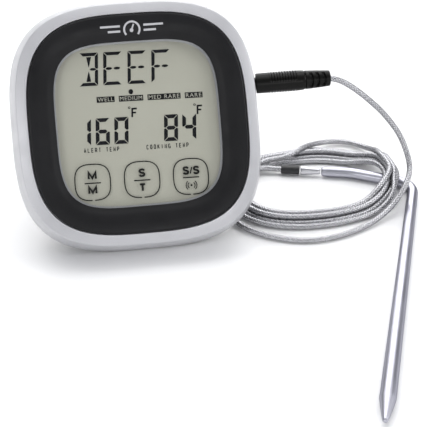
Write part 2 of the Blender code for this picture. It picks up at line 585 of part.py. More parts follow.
def fasteners(unit):
    head_z = SCREW_SEAT_Z - GAP
    for number, (x, y) in enumerate(SCREW_PLACES, 1):
        screw = turned(f"case_screw_{number}",
                       [(0, head_z - SCREW_HEAD_THICK + 0.6 * MM),
                        (0.8 * MM, head_z - SCREW_HEAD_THICK + 0.6 * MM),
                        (0.8 * MM, head_z - SCREW_HEAD_THICK),
                        (SCREW_HEAD_RADIUS, head_z - SCREW_HEAD_THICK + 0.3 * MM),
                        (SCREW_HEAD_RADIUS, head_z), (SCREW_RADIUS, head_z),
                        (SCREW_RADIUS, -8.4 * MM), (0, -7.6 * MM)], steel(), unit, 12)
        place(screw, (x * MM, y * MM, 0))
    for number, (x, y) in enumerate(PCB_SCREW_PLACES, 1):
        top = PCB_BACK_Z - GAP
        screw = turned(f"board_screw_{number}",
                       [(0, top - 1.0 * MM), (1.4 * MM, top - 0.8 * MM), (1.5 * MM, top),
                        (0.6 * MM, top), (0.6 * MM, -6.0 * MM), (0, -5.9 * MM)],
                       steel(), unit, 12)
        place(screw, (x * MM, y * MM, 0))
    for name, (x, y) in zip(("magnet_left", "magnet_right"), MAGNET_PLACES):
        low = BACK_Z - MAGNET_PROUD
        magnet = rod(name, MAGNET_RADIUS, low, low + MAGNET_THICK, steel(), unit, 24)
        place(magnet, (x * MM, y * MM, 0))


def power_switch(unit):
    top = PCB_BACK_Z - GAP
    box("power_switch_body", (SWITCH_X - 4.2 * MM, SWITCH_Y - 2 * MM, top - 5 * MM),
        (SWITCH_X + 4.2 * MM, SWITCH_Y + 2 * MM, top), steel(), unit)
    slide = empty("power_switch_slide", (SWITCH_X - SWITCH_TRAVEL / 2, SWITCH_Y, 0), unit)
    knob = box("power_switch_knob", (-1.0 * MM, -0.8 * MM, BACK_Z + 0.6 * MM),
               (1.0 * MM, 0.8 * MM, top - 5 * MM - GAP), black_plastic(), slide)
    cap = box("knob_cap_union", (-1.9 * MM, -0.95 * MM, BACK_Z - 0.5 * MM),
              (1.9 * MM, 0.95 * MM, BACK_Z + 1.1 * MM), None, slide)
    boolean(knob, cap, "UNION")


def unit_button(unit):
    top = PCB_BACK_Z - GAP
    tact = box("unit_tact_switch", (BUTTON_X - 3 * MM, BUTTON_Y - 2.6 * MM, top - 3.5 * MM),
               (BUTTON_X + 3 * MM, BUTTON_Y + 2.6 * MM, top), black_plastic(), unit)
    stem = rod("tact_stem_union", 1.2 * MM, -19.1 * MM, top - 3 * MM, None, unit, 16)
    boolean(tact, place(stem, (BUTTON_X, BUTTON_Y, 0)), "UNION")
    travel = empty("unit_button_travel", (BUTTON_X, BUTTON_Y, 0), unit)
    turned("unit_button", [(0, BACK_Z + 0.3 * MM), (BUTTON_RADIUS - 0.3 * MM, BACK_Z + 0.3 * MM),
           (BUTTON_RADIUS, BACK_Z + 0.6 * MM), (BUTTON_RADIUS, -20.3 * MM),
           (BUTTON_RADIUS + 0.7 * MM, -20.3 * MM), (BUTTON_RADIUS + 0.7 * MM, -19.7 * MM),
           (0, -19.7 * MM)], grey_plastic(), travel, 24)


# --- probe set: plug, cable and probe ---------------------------------------------------------------
def plug(plug_axis):
    """Plug about local X from the jack out, with ribs and a tapered strain relief."""
    tip_x = JACK_BACK_X + 1.8 * MM
    r = PLUG_PIN_RADIUS
    turned("plug_tip", [(0, tip_x), (0.5 * MM, tip_x), (r, tip_x + 1.2 * MM),
           (0.75 * r, tip_x + 1.9 * MM), (r, tip_x + 2.6 * MM), (r, tip_x + 3.4 * MM),
           (0, tip_x + 3.4 * MM)], gold_brass(), plug_axis, 16)
    ring_x = tip_x + 3.4 * MM + 0.1 * MM
    rod("plug_insulator", r * 0.98, ring_x, ring_x + 0.6 * MM, black_plastic(), plug_axis, 16)
    rod("plug_sleeve", r, ring_x + 0.7 * MM, PLUG_COLLAR_X - 0.1 * MM, gold_brass(), plug_axis, 16)
    profile = [(0, PLUG_COLLAR_X), (JACK_LIP_RADIUS, PLUG_COLLAR_X),
               (JACK_LIP_RADIUS, PLUG_FACE_X), (2.6 * MM, PLUG_FACE_X),
               (PLUG_RADIUS - 0.2 * MM, PLUG_FACE_X + 0.6 * MM), (PLUG_RADIUS, PLUG_FACE_X
               + 2.4 * MM)]
    for rib in range(7):
        x = PLUG_FACE_X + (2.8 + 1.2 * rib) * MM
        profile += [(PLUG_RADIUS - 0.25 * MM, x), (PLUG_RADIUS + 0.1 * MM, x + 0.6 * MM)]
    profile += [(PLUG_RADIUS - 0.1 * MM, PLUG_END_X - 1.6 * MM),
                (PLUG_END_RADIUS, PLUG_END_X), (0, PLUG_END_X)]
    turned("plug_body", profile, black_plastic(), plug_axis, 24)
    relief = [(0, PLUG_END_X + 0.1 * MM), (PLUG_END_RADIUS, PLUG_END_X + 0.1 * MM)]
    for ring in range(4):
        x = PLUG_END_X + (1.2 + 1.6 * ring) * MM
        shrink = 0.12 * ring * MM
        relief += [(PLUG_END_RADIUS - shrink, x), (PLUG_END_RADIUS - 0.35 * MM - shrink, x
                   + 0.3 * MM), (PLUG_END_RADIUS - 0.35 * MM - shrink, x + 0.7 * MM),
                   (PLUG_END_RADIUS - shrink, x + 1.0 * MM)]
    relief += [(2.2 * MM, RELIEF_END_X - 0.3 * MM), (1.9 * MM, RELIEF_END_X), (0, RELIEF_END_X)]
    turned("plug_strain_relief", relief, black_plastic(), plug_axis, 16)


def cable_coil(table):
    """Flat oval ring that the wound cable fills, lifted where it crosses the probe."""
    bm = bmesh.new()
    loops = []
    cross_angle = atan2(-0.5, 26.0)
    for step in range(COIL_POINTS):
        angle = 2 * pi * step / COIL_POINTS
        turn = (angle - cross_angle + pi) % (2 * pi) - pi
        lift = COIL_LIFT * max(0.0, cos(turn / COIL_LIFT_SPREAD * pi / 2)) ** 0.6 \
            if abs(turn) < COIL_LIFT_SPREAD else 0.0
        corners = []
        for out, height in ((0, 0.5), (0.1, 0), (0.9, 0), (1, 0.5), (0.75, 1), (0.25, 1)):
            x = COIL_INNER[0] + (COIL_OUTER[0] - COIL_INNER[0]) * out
            y = COIL_INNER[1] + (COIL_OUTER[1] - COIL_INNER[1]) * out
            corners.append(bm.verts.new(((COIL_CENTRE[0] + x * cos(angle)) * MM,
                                         (COIL_CENTRE[1] + y * sin(angle)) * MM,
                                         (lift + COIL_HEIGHT * height) * MM)))
        loops.append(corners)
    skin(bm, loops, ring_shaped=True)
    add_object("cable_coil", bm, steel(), table)


def probe_path():
    """Centreline of the probe, neck to tip: straight runs joined by arcs at each bend."""
    tip, neck = Vector(PROBE_TIP) * MM, Vector(PROBE_NECK) * MM
    corners = [Vector(corner) * MM for corner, _ in PROBE_BENDS]
    ways = zip([neck] + corners, corners, corners[1:] + [tip], PROBE_BENDS)
    path = [(neck, (corners[0] - neck).normalized())]
    for before, corner, after, (_, radius) in ways:
        back, ahead = (before - corner).normalized(), (after - corner).normalized()
        half_angle = back.angle(ahead) / 2
        tangent = radius * MM / tan(half_angle)
        centre = corner + (back + ahead).normalized() * radius * MM / sin(half_angle)
        first, last = corner + back * tangent - centre, corner + ahead * tangent - centre
        sweep = last.angle_signed(first)
        steps = max(2, round(abs(sweep) * 6))
        for step in range(steps + 1):
            offset = Matrix.Rotation(sweep * step / steps, 2) @ first
            heading = Vector((-offset.y, offset.x)).normalized() * copysign(1, sweep)
            path.append((centre + offset, heading))
    path.append((tip, (tip - corners[-1]).normalized()))
    return path


def probe(table):
    """Tube that lies on the table and widens towards its tapered tip."""
    path = [(Vector((*point, PROBE_RADIUS)), Vector((*heading, 0)))
            for point, heading in probe_path()]
    tip, ahead = path[-1]
    tip = tip + Vector((0, 0, PROBE_END_RADIUS - PROBE_RADIUS))
    shoulder = tip - ahead * PROBE_TAPER
    bore, end_bore = PROBE_RADIUS - PROBE_WALL, PROBE_END_RADIUS - PROBE_WALL
    bore_end = shoulder - ahead * 0.5 * MM
    outer = [(p, d, PROBE_RADIUS) for p, d in path[:-1]]
    outer += [(shoulder, ahead, PROBE_END_RADIUS),
              (tip - ahead * 0.5 * MM, ahead, PROBE_TIP_RADIUS + 0.1 * MM),
              (tip, ahead, PROBE_TIP_RADIUS * 0.5)]
    inner = [(bore_end, ahead, end_bore)] + [(p, d, bore) for p, d in reversed(path[:-1])]
    tube = swept("probe_tube", outer, steel(), table)
    hollow = [(path[0][0] - path[0][1] * MM, path[0][1], bore)]
    hollow += [station for station in reversed(inner)][1:]
    boolean(tube, swept("probe_bore_cutter", hollow, None, table, 12))
    bead_end = bore_end - ahead * GAP
    swept("thermistor_bead", [(bead_end - ahead * 5 * MM, ahead, 0.7 * MM),
                              (bead_end - ahead * 4 * MM, ahead, 1.1 * MM),
                              (bead_end - ahead * 0.6 * MM, ahead, 1.1 * MM),
                              (bead_end, ahead, 0.6 * MM)],
          material("bead_epoxy", (0.1, 0.05, 0.02), 0.4), table, 10)
    neck, heading = path[0]
    crimp_end = neck - heading * GAP
    crimp = [(crimp_end - heading * length * MM, heading, radius * MM) for length, radius in
             ((0, 1.0), (0.8, 1.1), (3.0, 1.25), (5.6, 1.5), (6.2, 1.55), (6.6, 1.4))]
    swept("probe_crimp", crimp, steel(), table)
    sleeve_end = crimp_end - heading * (CRIMP_LENGTH + GAP)
    swept("cable_sleeve", [(sleeve_end, heading, 1.35 * MM),
                           (sleeve_end - heading * 0.5 * MM, heading, SLEEVE_RADIUS),
                           (sleeve_end - heading * (SLEEVE_LENGTH - 0.2 * MM), heading,
                            SLEEVE_RADIUS),
                           (sleeve_end - heading * SLEEVE_LENGTH, heading, 1.35 * MM)],
          black_plastic(), table, 12)


def build():
    clear_scene()
    table = empty("thermometer", (-FRAME_CENTRE[0], -FRAME_CENTRE[1], 0))
    rest_height = RIM_HALF * cos(LEAN) - RIM_Z * sin(LEAN)
    unit = empty("display_unit", (0, 0, rest_height), table)
    unit.rotation_euler = (pi / 2 - LEAN, 0, 0)
    front_bezel(unit)
    fascia_frame(unit)
    display_stack(unit)
    display_tray(unit)
    zebra_strips(unit)
    circuit_board(unit)
    board_parts(unit)
    jack_socket(unit)
    rear_case(unit)
    battery_door(unit)
    battery_cells(unit)
    battery_contacts(unit)
    stand(unit)
    fasteners(unit)
    power_switch(unit)
    unit_button(unit)
    axis_y = JACK_Y * sin(LEAN) - JACK_Z * cos(LEAN)
    axis_z = rest_height + JACK_Y * cos(LEAN) + JACK_Z * sin(LEAN)
    plug_axis = empty("plug_axis", (0, axis_y, axis_z), table)
    plug_axis.rotation_euler = ALONG_X
    plug(plug_axis)
    cable_tube("cable_lead", CABLE_ARC, table)
    cable_tube("cable_tail", CABLE_TAIL, table)
    cable_coil(table)
    probe(table)


build()
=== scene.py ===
"""Visual model of the leave-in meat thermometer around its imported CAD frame.

Display-unit pieces are built in the unit's own axes (X across the face, Y up the face, Z out of
it, Z = 0 at the front rim), and the cable and the probe in table axes. Sizes are millimetres
until a mesh is made.
"""
from math import cos, degrees, pi, radians, sin, tan

import bmesh
import bpy
import numpy as np
from mathutils import Matrix, Vector


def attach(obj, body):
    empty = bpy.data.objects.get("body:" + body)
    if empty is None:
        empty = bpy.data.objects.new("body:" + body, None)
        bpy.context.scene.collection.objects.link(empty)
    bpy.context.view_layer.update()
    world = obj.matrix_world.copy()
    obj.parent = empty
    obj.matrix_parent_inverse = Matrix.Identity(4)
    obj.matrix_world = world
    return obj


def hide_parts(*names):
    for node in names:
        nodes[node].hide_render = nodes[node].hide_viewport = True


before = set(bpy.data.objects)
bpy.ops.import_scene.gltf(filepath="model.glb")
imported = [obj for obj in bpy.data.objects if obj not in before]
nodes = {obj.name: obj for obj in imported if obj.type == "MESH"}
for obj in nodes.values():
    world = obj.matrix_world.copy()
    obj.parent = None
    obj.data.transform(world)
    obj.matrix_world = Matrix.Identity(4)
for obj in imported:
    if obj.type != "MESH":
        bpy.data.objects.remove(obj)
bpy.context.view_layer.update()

MM = 0.001
LEAN = radians(33)
RIM_HALF, RIM_Z = 38.0, -11.8
UNIT_X, UNIT_Y = -26.32, 31.42
UNIT_HEIGHT = RIM_HALF * cos(LEAN) - RIM_Z * sin(LEAN)
UNIT = (Matrix.Translation(Vector((UNIT_X, UNIT_Y, UNIT_HEIGHT)) * MM)
        @ Matrix.Rotation(pi / 2 - LEAN, 4, "X"))
TABLE = Matrix.Translation(Vector((UNIT_X, UNIT_Y, 0)) * MM)


def add_object(name, data):
    item = bpy.data.objects.new(name, data)
    bpy.context.scene.collection.objects.link(item)
    return item


def as_mesh(name, bm):
    mesh = bpy.data.meshes.new(name)
    bm.to_mesh(mesh)
    bm.free()
    return mesh


def evaluated_mesh(item):
    graph = bpy.context.evaluated_depsgraph_get()
    return bpy.data.meshes.new_from_object(item.evaluated_get(graph))


# --- camera ---
def aim(item, place, target):
    item.location = Vector(place) * MM
    direction = (Vector(target) - Vector(place)).normalized()
    item.rotation_mode = "QUATERNION"
    item.rotation_quaternion = direction.to_track_quat("-Z", "Y")


def add_camera():
    data = bpy.data.cameras.new("camera")
    data.sensor_width = 36.0
    data.lens = 109.6
    data.clip_start, data.clip_end = 0.01, 20.0
    camera = add_object("camera", data)
    aim(camera, (-56.82, -304.18, 232.7), (-4.96, 24.91, 7.9))
    bpy.context.scene.camera = camera


add_camera()


# --- mesh helpers ---
def add_piece(name, bm, body, mat, slot, matrix, replaces=(), sharp=40):
    """Turn a bmesh in millimetres into a piece that rides on a body."""
    bmesh.ops.recalc_face_normals(bm, faces=bm.faces)
    mesh = as_mesh(name, bm)
    mesh.transform(matrix @ Matrix.Scale(MM, 4))
    mesh.shade_smooth()
    mesh.set_sharp_from_angle(angle=radians(sharp))
    mesh.materials.append(mat)
    piece = add_object(name, mesh)
    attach(piece, body)
    if replaces:
        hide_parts(*replaces)
    return piece


def skin(bm, loops, joined=False):
    """Quads between successive vertex loops; joined connects the last to the first."""
    pairs = list(zip(loops, loops[1:]))
    if joined:
        pairs.append((loops[-1], loops[0]))
    for first, second in pairs:
        for i in range(len(first)):
            bm.faces.new((first[i - 1], first[i], second[i], second[i - 1]))
    if not joined:
        bm.faces.new(loops[0])
        bm.faces.new(loops[-1])


OUTLINE_POINTS = 256


def reach_at(c, s, half_x, half_y, power):
    """Distance from the middle of a rounded box |x|^p + |y|^p = 1 to its edge, one way out."""
    return (abs(c / half_x) ** power + abs(s / half_y) ** power) ** (-1 / power)


def outline(half, power):
    """Evenly turned points of a rounded square."""
    points = []
    for step in range(OUTLINE_POINTS):
        angle = 2 * pi * step / OUTLINE_POINTS
        c, s = cos(angle), sin(angle)
        reach = reach_at(c, s, half, half, power)
        points.append((c * reach, s * reach))
    return points


def rounded(points, radius, closed=True, steps=5):
    """Profile with each corner softened: points are tuples that start with two coordinates."""
    count = len(points)
    result = []
    for i, point in enumerate(points):
        if not closed and i in (0, count - 1):
            result.append(tuple(point))
            continue
        p = Vector(point)
        before, after = Vector(points[i - 1]) - p, Vector(points[(i + 1) % count]) - p
        reach = min(radius, before.length * 0.45, after.length * 0.45)
        a, b = p + before.normalized() * reach, p + after.normalized() * reach
        for k in range(steps + 1):
            t = k / steps
            result.append(tuple((1 - t) ** 2 * a + 2 * t * (1 - t) * p + t * t * b))
    return result


def lengths_along(line):
    return np.concatenate(([0], np.cumsum(np.linalg.norm(np.diff(line, axis=0), axis=1))))


def resampled(line, along, places):
    return np.stack([np.interp(places, along, column) for column in np.transpose(line)], 1)


CURVE_STEPS = 24                    # points between two given ones, before even spacing


def smooth_line(points, spacing):
    """Evenly spaced points on a Catmull-Rom curve through the given ones."""
    ends = [2 * points[0] - points[1]] + list(points) + [2 * points[-1] - points[-2]]
    fine = []
    for a, b, c, d in zip(ends, ends[1:], ends[2:], ends[3:]):
        for k in range(CURVE_STEPS):
            t = k / CURVE_STEPS
            fine.append(0.5 * (2 * b + (c - a) * t + (2 * a - 5 * b + 4 * c - d) * t * t
                               + (3 * b - a - 3 * c + d) * t ** 3))
    fine.append(ends[-2])
    fine = np.array([tuple(p) for p in fine])
    along = lengths_along(fine)
    even = np.linspace(0, along[-1], max(2, round(along[-1] / spacing)) + 1)
    return resampled(fine, along, even)


def frames_along(points):
    """Tangents and two steady side directions along a line, without twist."""
    tangents = np.gradient(points, axis=0)
    tangents /= np.linalg.norm(tangents, axis=1)[:, None]
    side = np.cross(tangents[0], (0.0, 0.0, 1.0))
    sides = []
    for tangent in tangents:
        side = side - tangent * side.dot(tangent)
        side = side / np.linalg.norm(side)
        sides.append(side)
    sides = np.array(sides)
    return tangents, sides, np.cross(tangents, sides)


def tube(name, line, radii, mat, slot, replaces, sides=24, relief=None, sharp=40):
    """Swept tube of the probe set in table axes, UVs in millimetres along and turns around."""
    _, across, up = frames_along(line)
    along = lengths_along(line)
    bm = bmesh.new()
    turns = np.arange(sides) / sides
    ring = np.stack((np.cos(2 * pi * turns), np.sin(2 * pi * turns)), 1)
    loops = []
    for i, centre in enumerate(line):
        radius = np.full(sides, radii[i])
        if relief is not None:
            radius = radius + relief(along[i], turns)
        spots = centre + radius[:, None] * (ring[:, :1] * across[i] + ring[:, 1:] * up[i])
        loops.append([bm.verts.new(spot) for spot in spots])
    layer = bm.loops.layers.uv.new("UVMap")
    for i in range(len(loops) - 1):
        for j in range(sides):
            k = (j + 1) % sides
            face = bm.faces.new((loops[i][j], loops[i][k], loops[i + 1][k], loops[i + 1][j]))
            for corner, (u, v) in zip(face.loops, ((along[i], j), (along[i], j + 1),
                                                   (along[i + 1], j + 1), (along[i + 1], j))):
                corner[layer].uv = (u, v / sides)
    bm.faces.new(loops[0])
    bm.faces.new(loops[-1])
    return add_piece(name, bm, "probe_set", mat, slot, TABLE, replaces, sharp)


def stations(profile, spacing):
    """Profile with extra points, no further apart along X than the spacing."""
    fine = []
    for (r0, x0), (r1, x1) in zip(profile, profile[1:]):
        pieces = max(1, round(abs(x1 - x0) / spacing))
        fine += [(r0 + (r1 - r0) * k / pieces, x0 + (x1 - x0) * k / pieces)
                 for k in range(pieces)]
    return fine + [profile[-1]]


def turned(name, profile, body, mat, slot, matrix, replaces, sides, sharp=40, warp=None):
    """Revolve an open (radius, length) profile about local X and close both ends."""
    bm = bmesh.new()
    loops = []
    for radius, x in profile:
        loop = []
        for k in range(sides):
            angle = 2 * pi * k / sides
            along, r = warp(x, angle, radius) if warp else (x, radius)
            loop.append(bm.verts.new((along, r * cos(angle), r * sin(angle))))
        loops.append(loop)
    skin(bm, loops)
    return add_piece(name, bm, body, mat, slot, matrix, replaces, sharp)


def settle(piece):
    """Apply a piece's modifiers."""
    mesh = evaluated_mesh(piece)
    piece.modifiers.clear()
    piece.data = mesh


# --- materials ---
class Nodes:
    """Short names for building a material's node tree."""

    def __init__(self, name):
        self.material = bpy.data.materials.new(name)
        self.material.use_nodes = True
        self.tree = self.material.node_tree
        self.shader = self.tree.nodes["Principled BSDF"]
        self.output = self.tree.nodes["Material Output"]

    def feed(self, socket, value):
        """Link a socket to another one, or set its value."""
        if isinstance(value, bpy.types.NodeSocket):
            self.tree.links.new(value, socket)
        else:
            socket.default_value = value

    def add(self, kind, inputs=(), **settings):
        node = self.tree.nodes.new("ShaderNode" + kind)
        for key, value in settings.items():
            setattr(node, key, value)
        for key, value in dict(inputs).items():
            self.feed(node.inputs[key], value)
        return node

    def math(self, operation, a, b=0.0):
        return self.add("Math", {0: a, 1: b}, operation=operation).outputs[0]

    def noise(self, scale, detail, stretch=(1, 1, 1), uv=False):
        where = self.add("TexCoord").outputs["UV" if uv else "Object"]
        spot = self.add("Mapping", {"Vector": where, "Scale": stretch}).outputs[0]
        return self.add("TexNoise", {"Vector": spot, "Scale": scale, "Detail": detail}).outputs[0]

    def ramp(self, fac, start, end, low=0.0, high=1.0):
        return self.add("MapRange", {0: fac, 1: start, 2: end, 3: low, 4: high}).outputs[0]

    def between(self, noise, low, high):
        return self.ramp(noise, 0.3, 0.7, low, high)

    def blend(self, fac, first, second):
        node = self.add("Mix", {0: fac}, data_type="RGBA")
        for key, value in ((6, first), (7, second)):
            if not isinstance(value, bpy.types.NodeSocket):
                value = (*value, 1.0)
            self.feed(node.inputs[key], value)
        return node.outputs[2]

    def bump(self, height, distance, strength=1.0):
        return self.add("Bump", {"Height": height, "Distance": distance * MM,
                                 "Strength": strength}).outputs[0]

    def finish(self, colour, roughness, normal=None, metallic=0.0, **more):
        """Set the shader's inputs and return the material."""
        inputs = {"Base Color": colour, "Roughness": roughness, "Metallic": metallic}
        if normal is not None:
            inputs["Normal"] = normal
        for key, value in more.items():
            inputs[key.replace("_", " ")] = value
        for key, value in inputs.items():
            self.feed(self.shader.inputs[key], value)
        return self.material


def shade(colour, amount):
    return tuple(min(1.0, c * amount) for c in colour)


def plastic(name, colour, roughness, *, mottle, grain=0.004, grain_scale=9000, metallic=0.0,
            wear=0.0, specular=0.5):
    """Moulded plastic or paint: mottled colour and gloss, a fine moulded grain, worn edges."""
    n = Nodes(name)
    broad = n.noise(90, 4)
    fine = n.noise(2600, 2)
    surface = n.blend(n.between(broad, 0, 1), shade(colour, 1 - mottle),
                      shade(colour, 1 + mottle))
    surface = n.blend(n.between(fine, 0, 0.35), surface, shade(colour, 1 + 2 * mottle))
    if wear:
        edge = n.ramp(n.add("NewGeometry").outputs["Pointiness"], 0.52, 0.6, 0.0, wear)
        surface = n.blend(edge, surface, shade(colour, 1.7))
    return n.finish(surface, n.between(n.noise(240, 5), roughness - 0.06, roughness + 0.08),
                    n.bump(n.noise(grain_scale, 2), grain), metallic,
                    Specular_IOR_Level=specular)


def metal(name, colour, roughness, stretch, scale):
    """Metal with fine lines, drawn out along an axis by the stretch, and an uneven gloss."""
    n = Nodes(name)
    lines = n.noise(scale, 6, stretch)
    surface = n.blend(n.between(lines, 0, 1), shade(colour, 0.9), shade(colour, 1.06))
    gloss = n.between(n.noise(130, 4), roughness - 0.05, roughness + 0.1)
    return n.finish(surface, gloss, n.bump(lines, 0.003), 1.0)


def drawn_tube(name, colour, roughness, along=0.15, around=30.0, scratch=0.004):
    """Metal tube with polishing lines along it, from UVs in millimetres along and turns around."""
    n = Nodes(name)
    lines = n.noise(1.0, 6, (along, around, 1), uv=True)
    smears = n.noise(1.0, 4, (0.06, 5.0, 1), uv=True)
    surface = n.blend(n.between(lines, 0, 1), shade(colour, 0.92), shade(colour, 1.05))
    return n.finish(surface, n.between(smears, roughness - 0.05, roughness + 0.1),
                    n.bump(lines, scratch), 1.0, Specular_Tint=(0.3, 0.3, 0.32, 1.0))


BRAID_STEP = 0.95                   # mm along the cable from one crossing to the next
BRAID_AROUND = 6                    # crossings round the cable


def braided(name):
    """Fine stainless braid: flat bundles of wire that cross over and under each other, with
    painted shade in the hollows between them.
    """
    n = Nodes(name)
    uv = n.add("SeparateXYZ", {0: n.add("TexCoord").outputs["UV"]})
    along = n.math("MULTIPLY", uv.outputs[0], pi / BRAID_STEP)
    around = n.math("MULTIPLY", uv.outputs[1], pi * BRAID_AROUND)
    first, second = n.math("ADD", around, along), n.math("SUBTRACT", around, along)
    cross = n.math("MULTIPLY", n.math("SINE", first), n.math("SINE", second))
    over = n.ramp(cross, -0.12, 0.12)
    wires = n.add("Mix", {0: over, 2: n.math("SINE", n.math("MULTIPLY", first, 5.0)),
                          3: n.math("SINE", n.math("MULTIPLY", second, 5.0))}).outputs[0]
    bulge = n.math("POWER", n.math("ABSOLUTE", cross), 0.5)
    height = n.math("ADD", n.math("MULTIPLY", bulge, 0.75), n.math("MULTIPLY", wires, 0.25))
    patches = n.noise(1.0, 5, (0.9, 7.0, 1), uv=True)
    # painted shade: the colour runs from near black where the braid lies low, between bundles and
    # wires, to pale on their crowns
    colour = n.blend(n.ramp(height, 0.25, 0.75), (0.07, 0.07, 0.075), (0.92, 0.92, 0.95))
    return n.finish(n.blend(n.between(patches, 0.0, 0.5), colour, (0.34, 0.34, 0.36)),
                    n.between(patches, 0.20, 0.32), n.bump(height, 0.06, 0.8), 0.8,
                    Specular_Tint=(0.35, 0.35, 0.37, 1.0))


def clear_sheet(name, tint, gloss_roughness, mirror):
    """Thin clear sheet: see-through, with a surface reflection that grows at a glancing look."""
    n = Nodes(name)
    clear = n.add("BsdfTransparent", {"Color": (*tint, 1.0)})
    gloss = n.add("BsdfGlossy", {"Color": (mirror, mirror, mirror, 1.0),
                                 "Roughness": gloss_roughness})
    outside = n.math("SUBTRACT", 1.0, n.add("NewGeometry").outputs["Backfacing"])
    fresnel = n.math("MULTIPLY", n.add("Fresnel", {"IOR": 1.35}).outputs[0], outside)
    mix = n.add("MixShader", {0: fresnel, 1: clear.outputs[0], 2: gloss.outputs[0]})
    n.tree.links.new(mix.outputs[0], n.output.inputs["Surface"])
    n.tree.nodes.remove(n.shader)
    return n.material


def lcd_ground(name):
    """Reflective LCD: warm grey, faintly cloudy, with a fine darker grit."""
    n = Nodes(name)
    cloud = n.noise(60, 5)
    grit = n.noise(5200, 2)
    colour = n.blend(n.between(cloud, 0, 1), (0.585, 0.57, 0.525), (0.61, 0.595, 0.55))
    return n.finish(n.blend(n.between(grit, 0, 0.25), colour, (0.56, 0.56, 0.50)),
                    n.between(cloud, 0.42, 0.52), n.bump(grit, 0.002))


def board_green(name):
    """Solder-resist green with paler copper runs under it."""
    n = Nodes(name)
    where = n.add("TexCoord").outputs["Object"]
    cells = n.add("TexVoronoi", {"Vector": where, "Scale": 420.0}, feature="DISTANCE_TO_EDGE",
                  distance="MANHATTAN")
    runs = n.ramp(cells.outputs["Distance"], 0.04, 0.07, 1.0, 0.0)
    return n.finish(n.blend(runs, (0.012, 0.11, 0.04), (0.05, 0.26, 0.09)),
                    n.between(n.noise(500, 3), 0.3, 0.42), n.bump(runs, 0.03))


def cell_label(name, start, end):
    """Battery wrap with a copper-coloured positive end, from one place along X to another."""
    n = Nodes(name)
    where = n.add("SeparateXYZ", {0: n.add("TexCoord").outputs["Object"]}).outputs[0]
    part = n.ramp(where, start * MM, end * MM)
    body = n.blend(n.between(n.noise(700, 3), 0, 1), (0.015, 0.02, 0.05), (0.03, 0.035, 0.075))
    copper = n.blend(n.between(n.noise(900, 4), 0, 1), (0.55, 0.27, 0.13), (0.68, 0.36, 0.18))
    return n.finish(n.blend(part, body, copper), n.between(n.noise(300, 3), 0.22, 0.34),
                    metallic=0.55, Coat_Weight=0.5, Coat_Roughness=0.1)


silver = plastic("silver_paint", (0.50, 0.50, 0.52), 0.36, grain=0.003, grain_scale=14000,
                 mottle=0.03, metallic=0.25)
fascia_black = plastic("satin_black", (0.010, 0.010, 0.011), 0.42, specular=0.18, grain=0.004,
                       grain_scale=16000, mottle=0.2)
rear_grey = plastic("rear_grey", (0.20, 0.20, 0.205), 0.5, grain=0.02, grain_scale=3800,
                    mottle=0.06)
black = plastic("black_plastic", (0.016, 0.016, 0.017), 0.42, grain=0.008, grain_scale=7000,
                mottle=0.25, wear=0.3)
plug_black = plastic("plug_rubber", (0.004, 0.004, 0.0035), 0.3, specular=0.14, grain=0.008,
                     grain_scale=5200, mottle=0.25)
rubber = plastic("rubber", (0.025, 0.025, 0.026), 0.75, grain=0.02, grain_scale=3200,
                 mottle=0.3)
white = plastic("white_plastic", (0.72, 0.72, 0.69), 0.48, mottle=0.04)
pink = plastic("elastomer", (0.62, 0.36, 0.4), 0.6, mottle=0.1)
epoxy = plastic("epoxy", (0.012, 0.012, 0.013), 0.3, mottle=0.3)
segment_ink = plastic("segment_ink", (0.006, 0.006, 0.010), 0.35, grain=0.001, mottle=0.2,
                      specular=0.2)
key_ink = plastic("key_ink", (0.010, 0.010, 0.009), 0.5, grain=0.001, mottle=0.2,
                  specular=0.2)
lens_rim = plastic("lens_rim", (0.36, 0.36, 0.38), 0.35, grain=0.001, mottle=0.06)
pale_ink = plastic("pale_ink", (0.48, 0.48, 0.50), 0.45, grain=0.001, mottle=0.05)
steel = metal("steel", (0.66, 0.66, 0.68), 0.26, (1, 1, 8), 900)
screw_steel = metal("screw_steel", (0.42, 0.42, 0.44), 0.3, (1, 1, 1), 2500)
magnet_steel = metal("nickel", (0.62, 0.61, 0.58), 0.2, (1, 1, 1), 1500)
gold = metal("gold_plate", (0.83, 0.62, 0.28), 0.2, (0.2, 1, 1), 2500)
probe_steel = drawn_tube("probe_steel", (0.49, 0.49, 0.55), 0.34)
ferrule_steel = drawn_tube("ferrule_steel", (0.60, 0.60, 0.63), 0.26, 0.6, 18.0, 0.006)
braid_steel = braided("cable_braid")
lens_clear = clear_sheet("lens_clear", (0.985, 0.99, 0.985), 0.05, 0.55)
film_clear = clear_sheet("film_clear", (0.97, 0.97, 0.955), 0.3, 0.15)
lcd_grey = lcd_ground("lcd_glass")
board = board_green("circuit_board")
upper_wrap = cell_label("cell_wrap_upper", UNIT_X + 10.5, UNIT_X + 10.8)
lower_wrap = cell_label("cell_wrap_lower", UNIT_X - 10.5, UNIT_X - 10.8)


# --- the cord: braided cable from the probe's sleeve to the plug ---
CABLE_RADIUS = 0.9
CABLE_SPACING = 0.26                # between the rings of its mesh
SMOOTHING_PASSES = 90
COIL_TURNS = 6
COIL_X, COIL_Y = 57.3, 14.2
COIL_RIGHT, COIL_LEFT, COIL_DEEP = 24.4, 22.0, 16.1      # innermost turn's half sizes
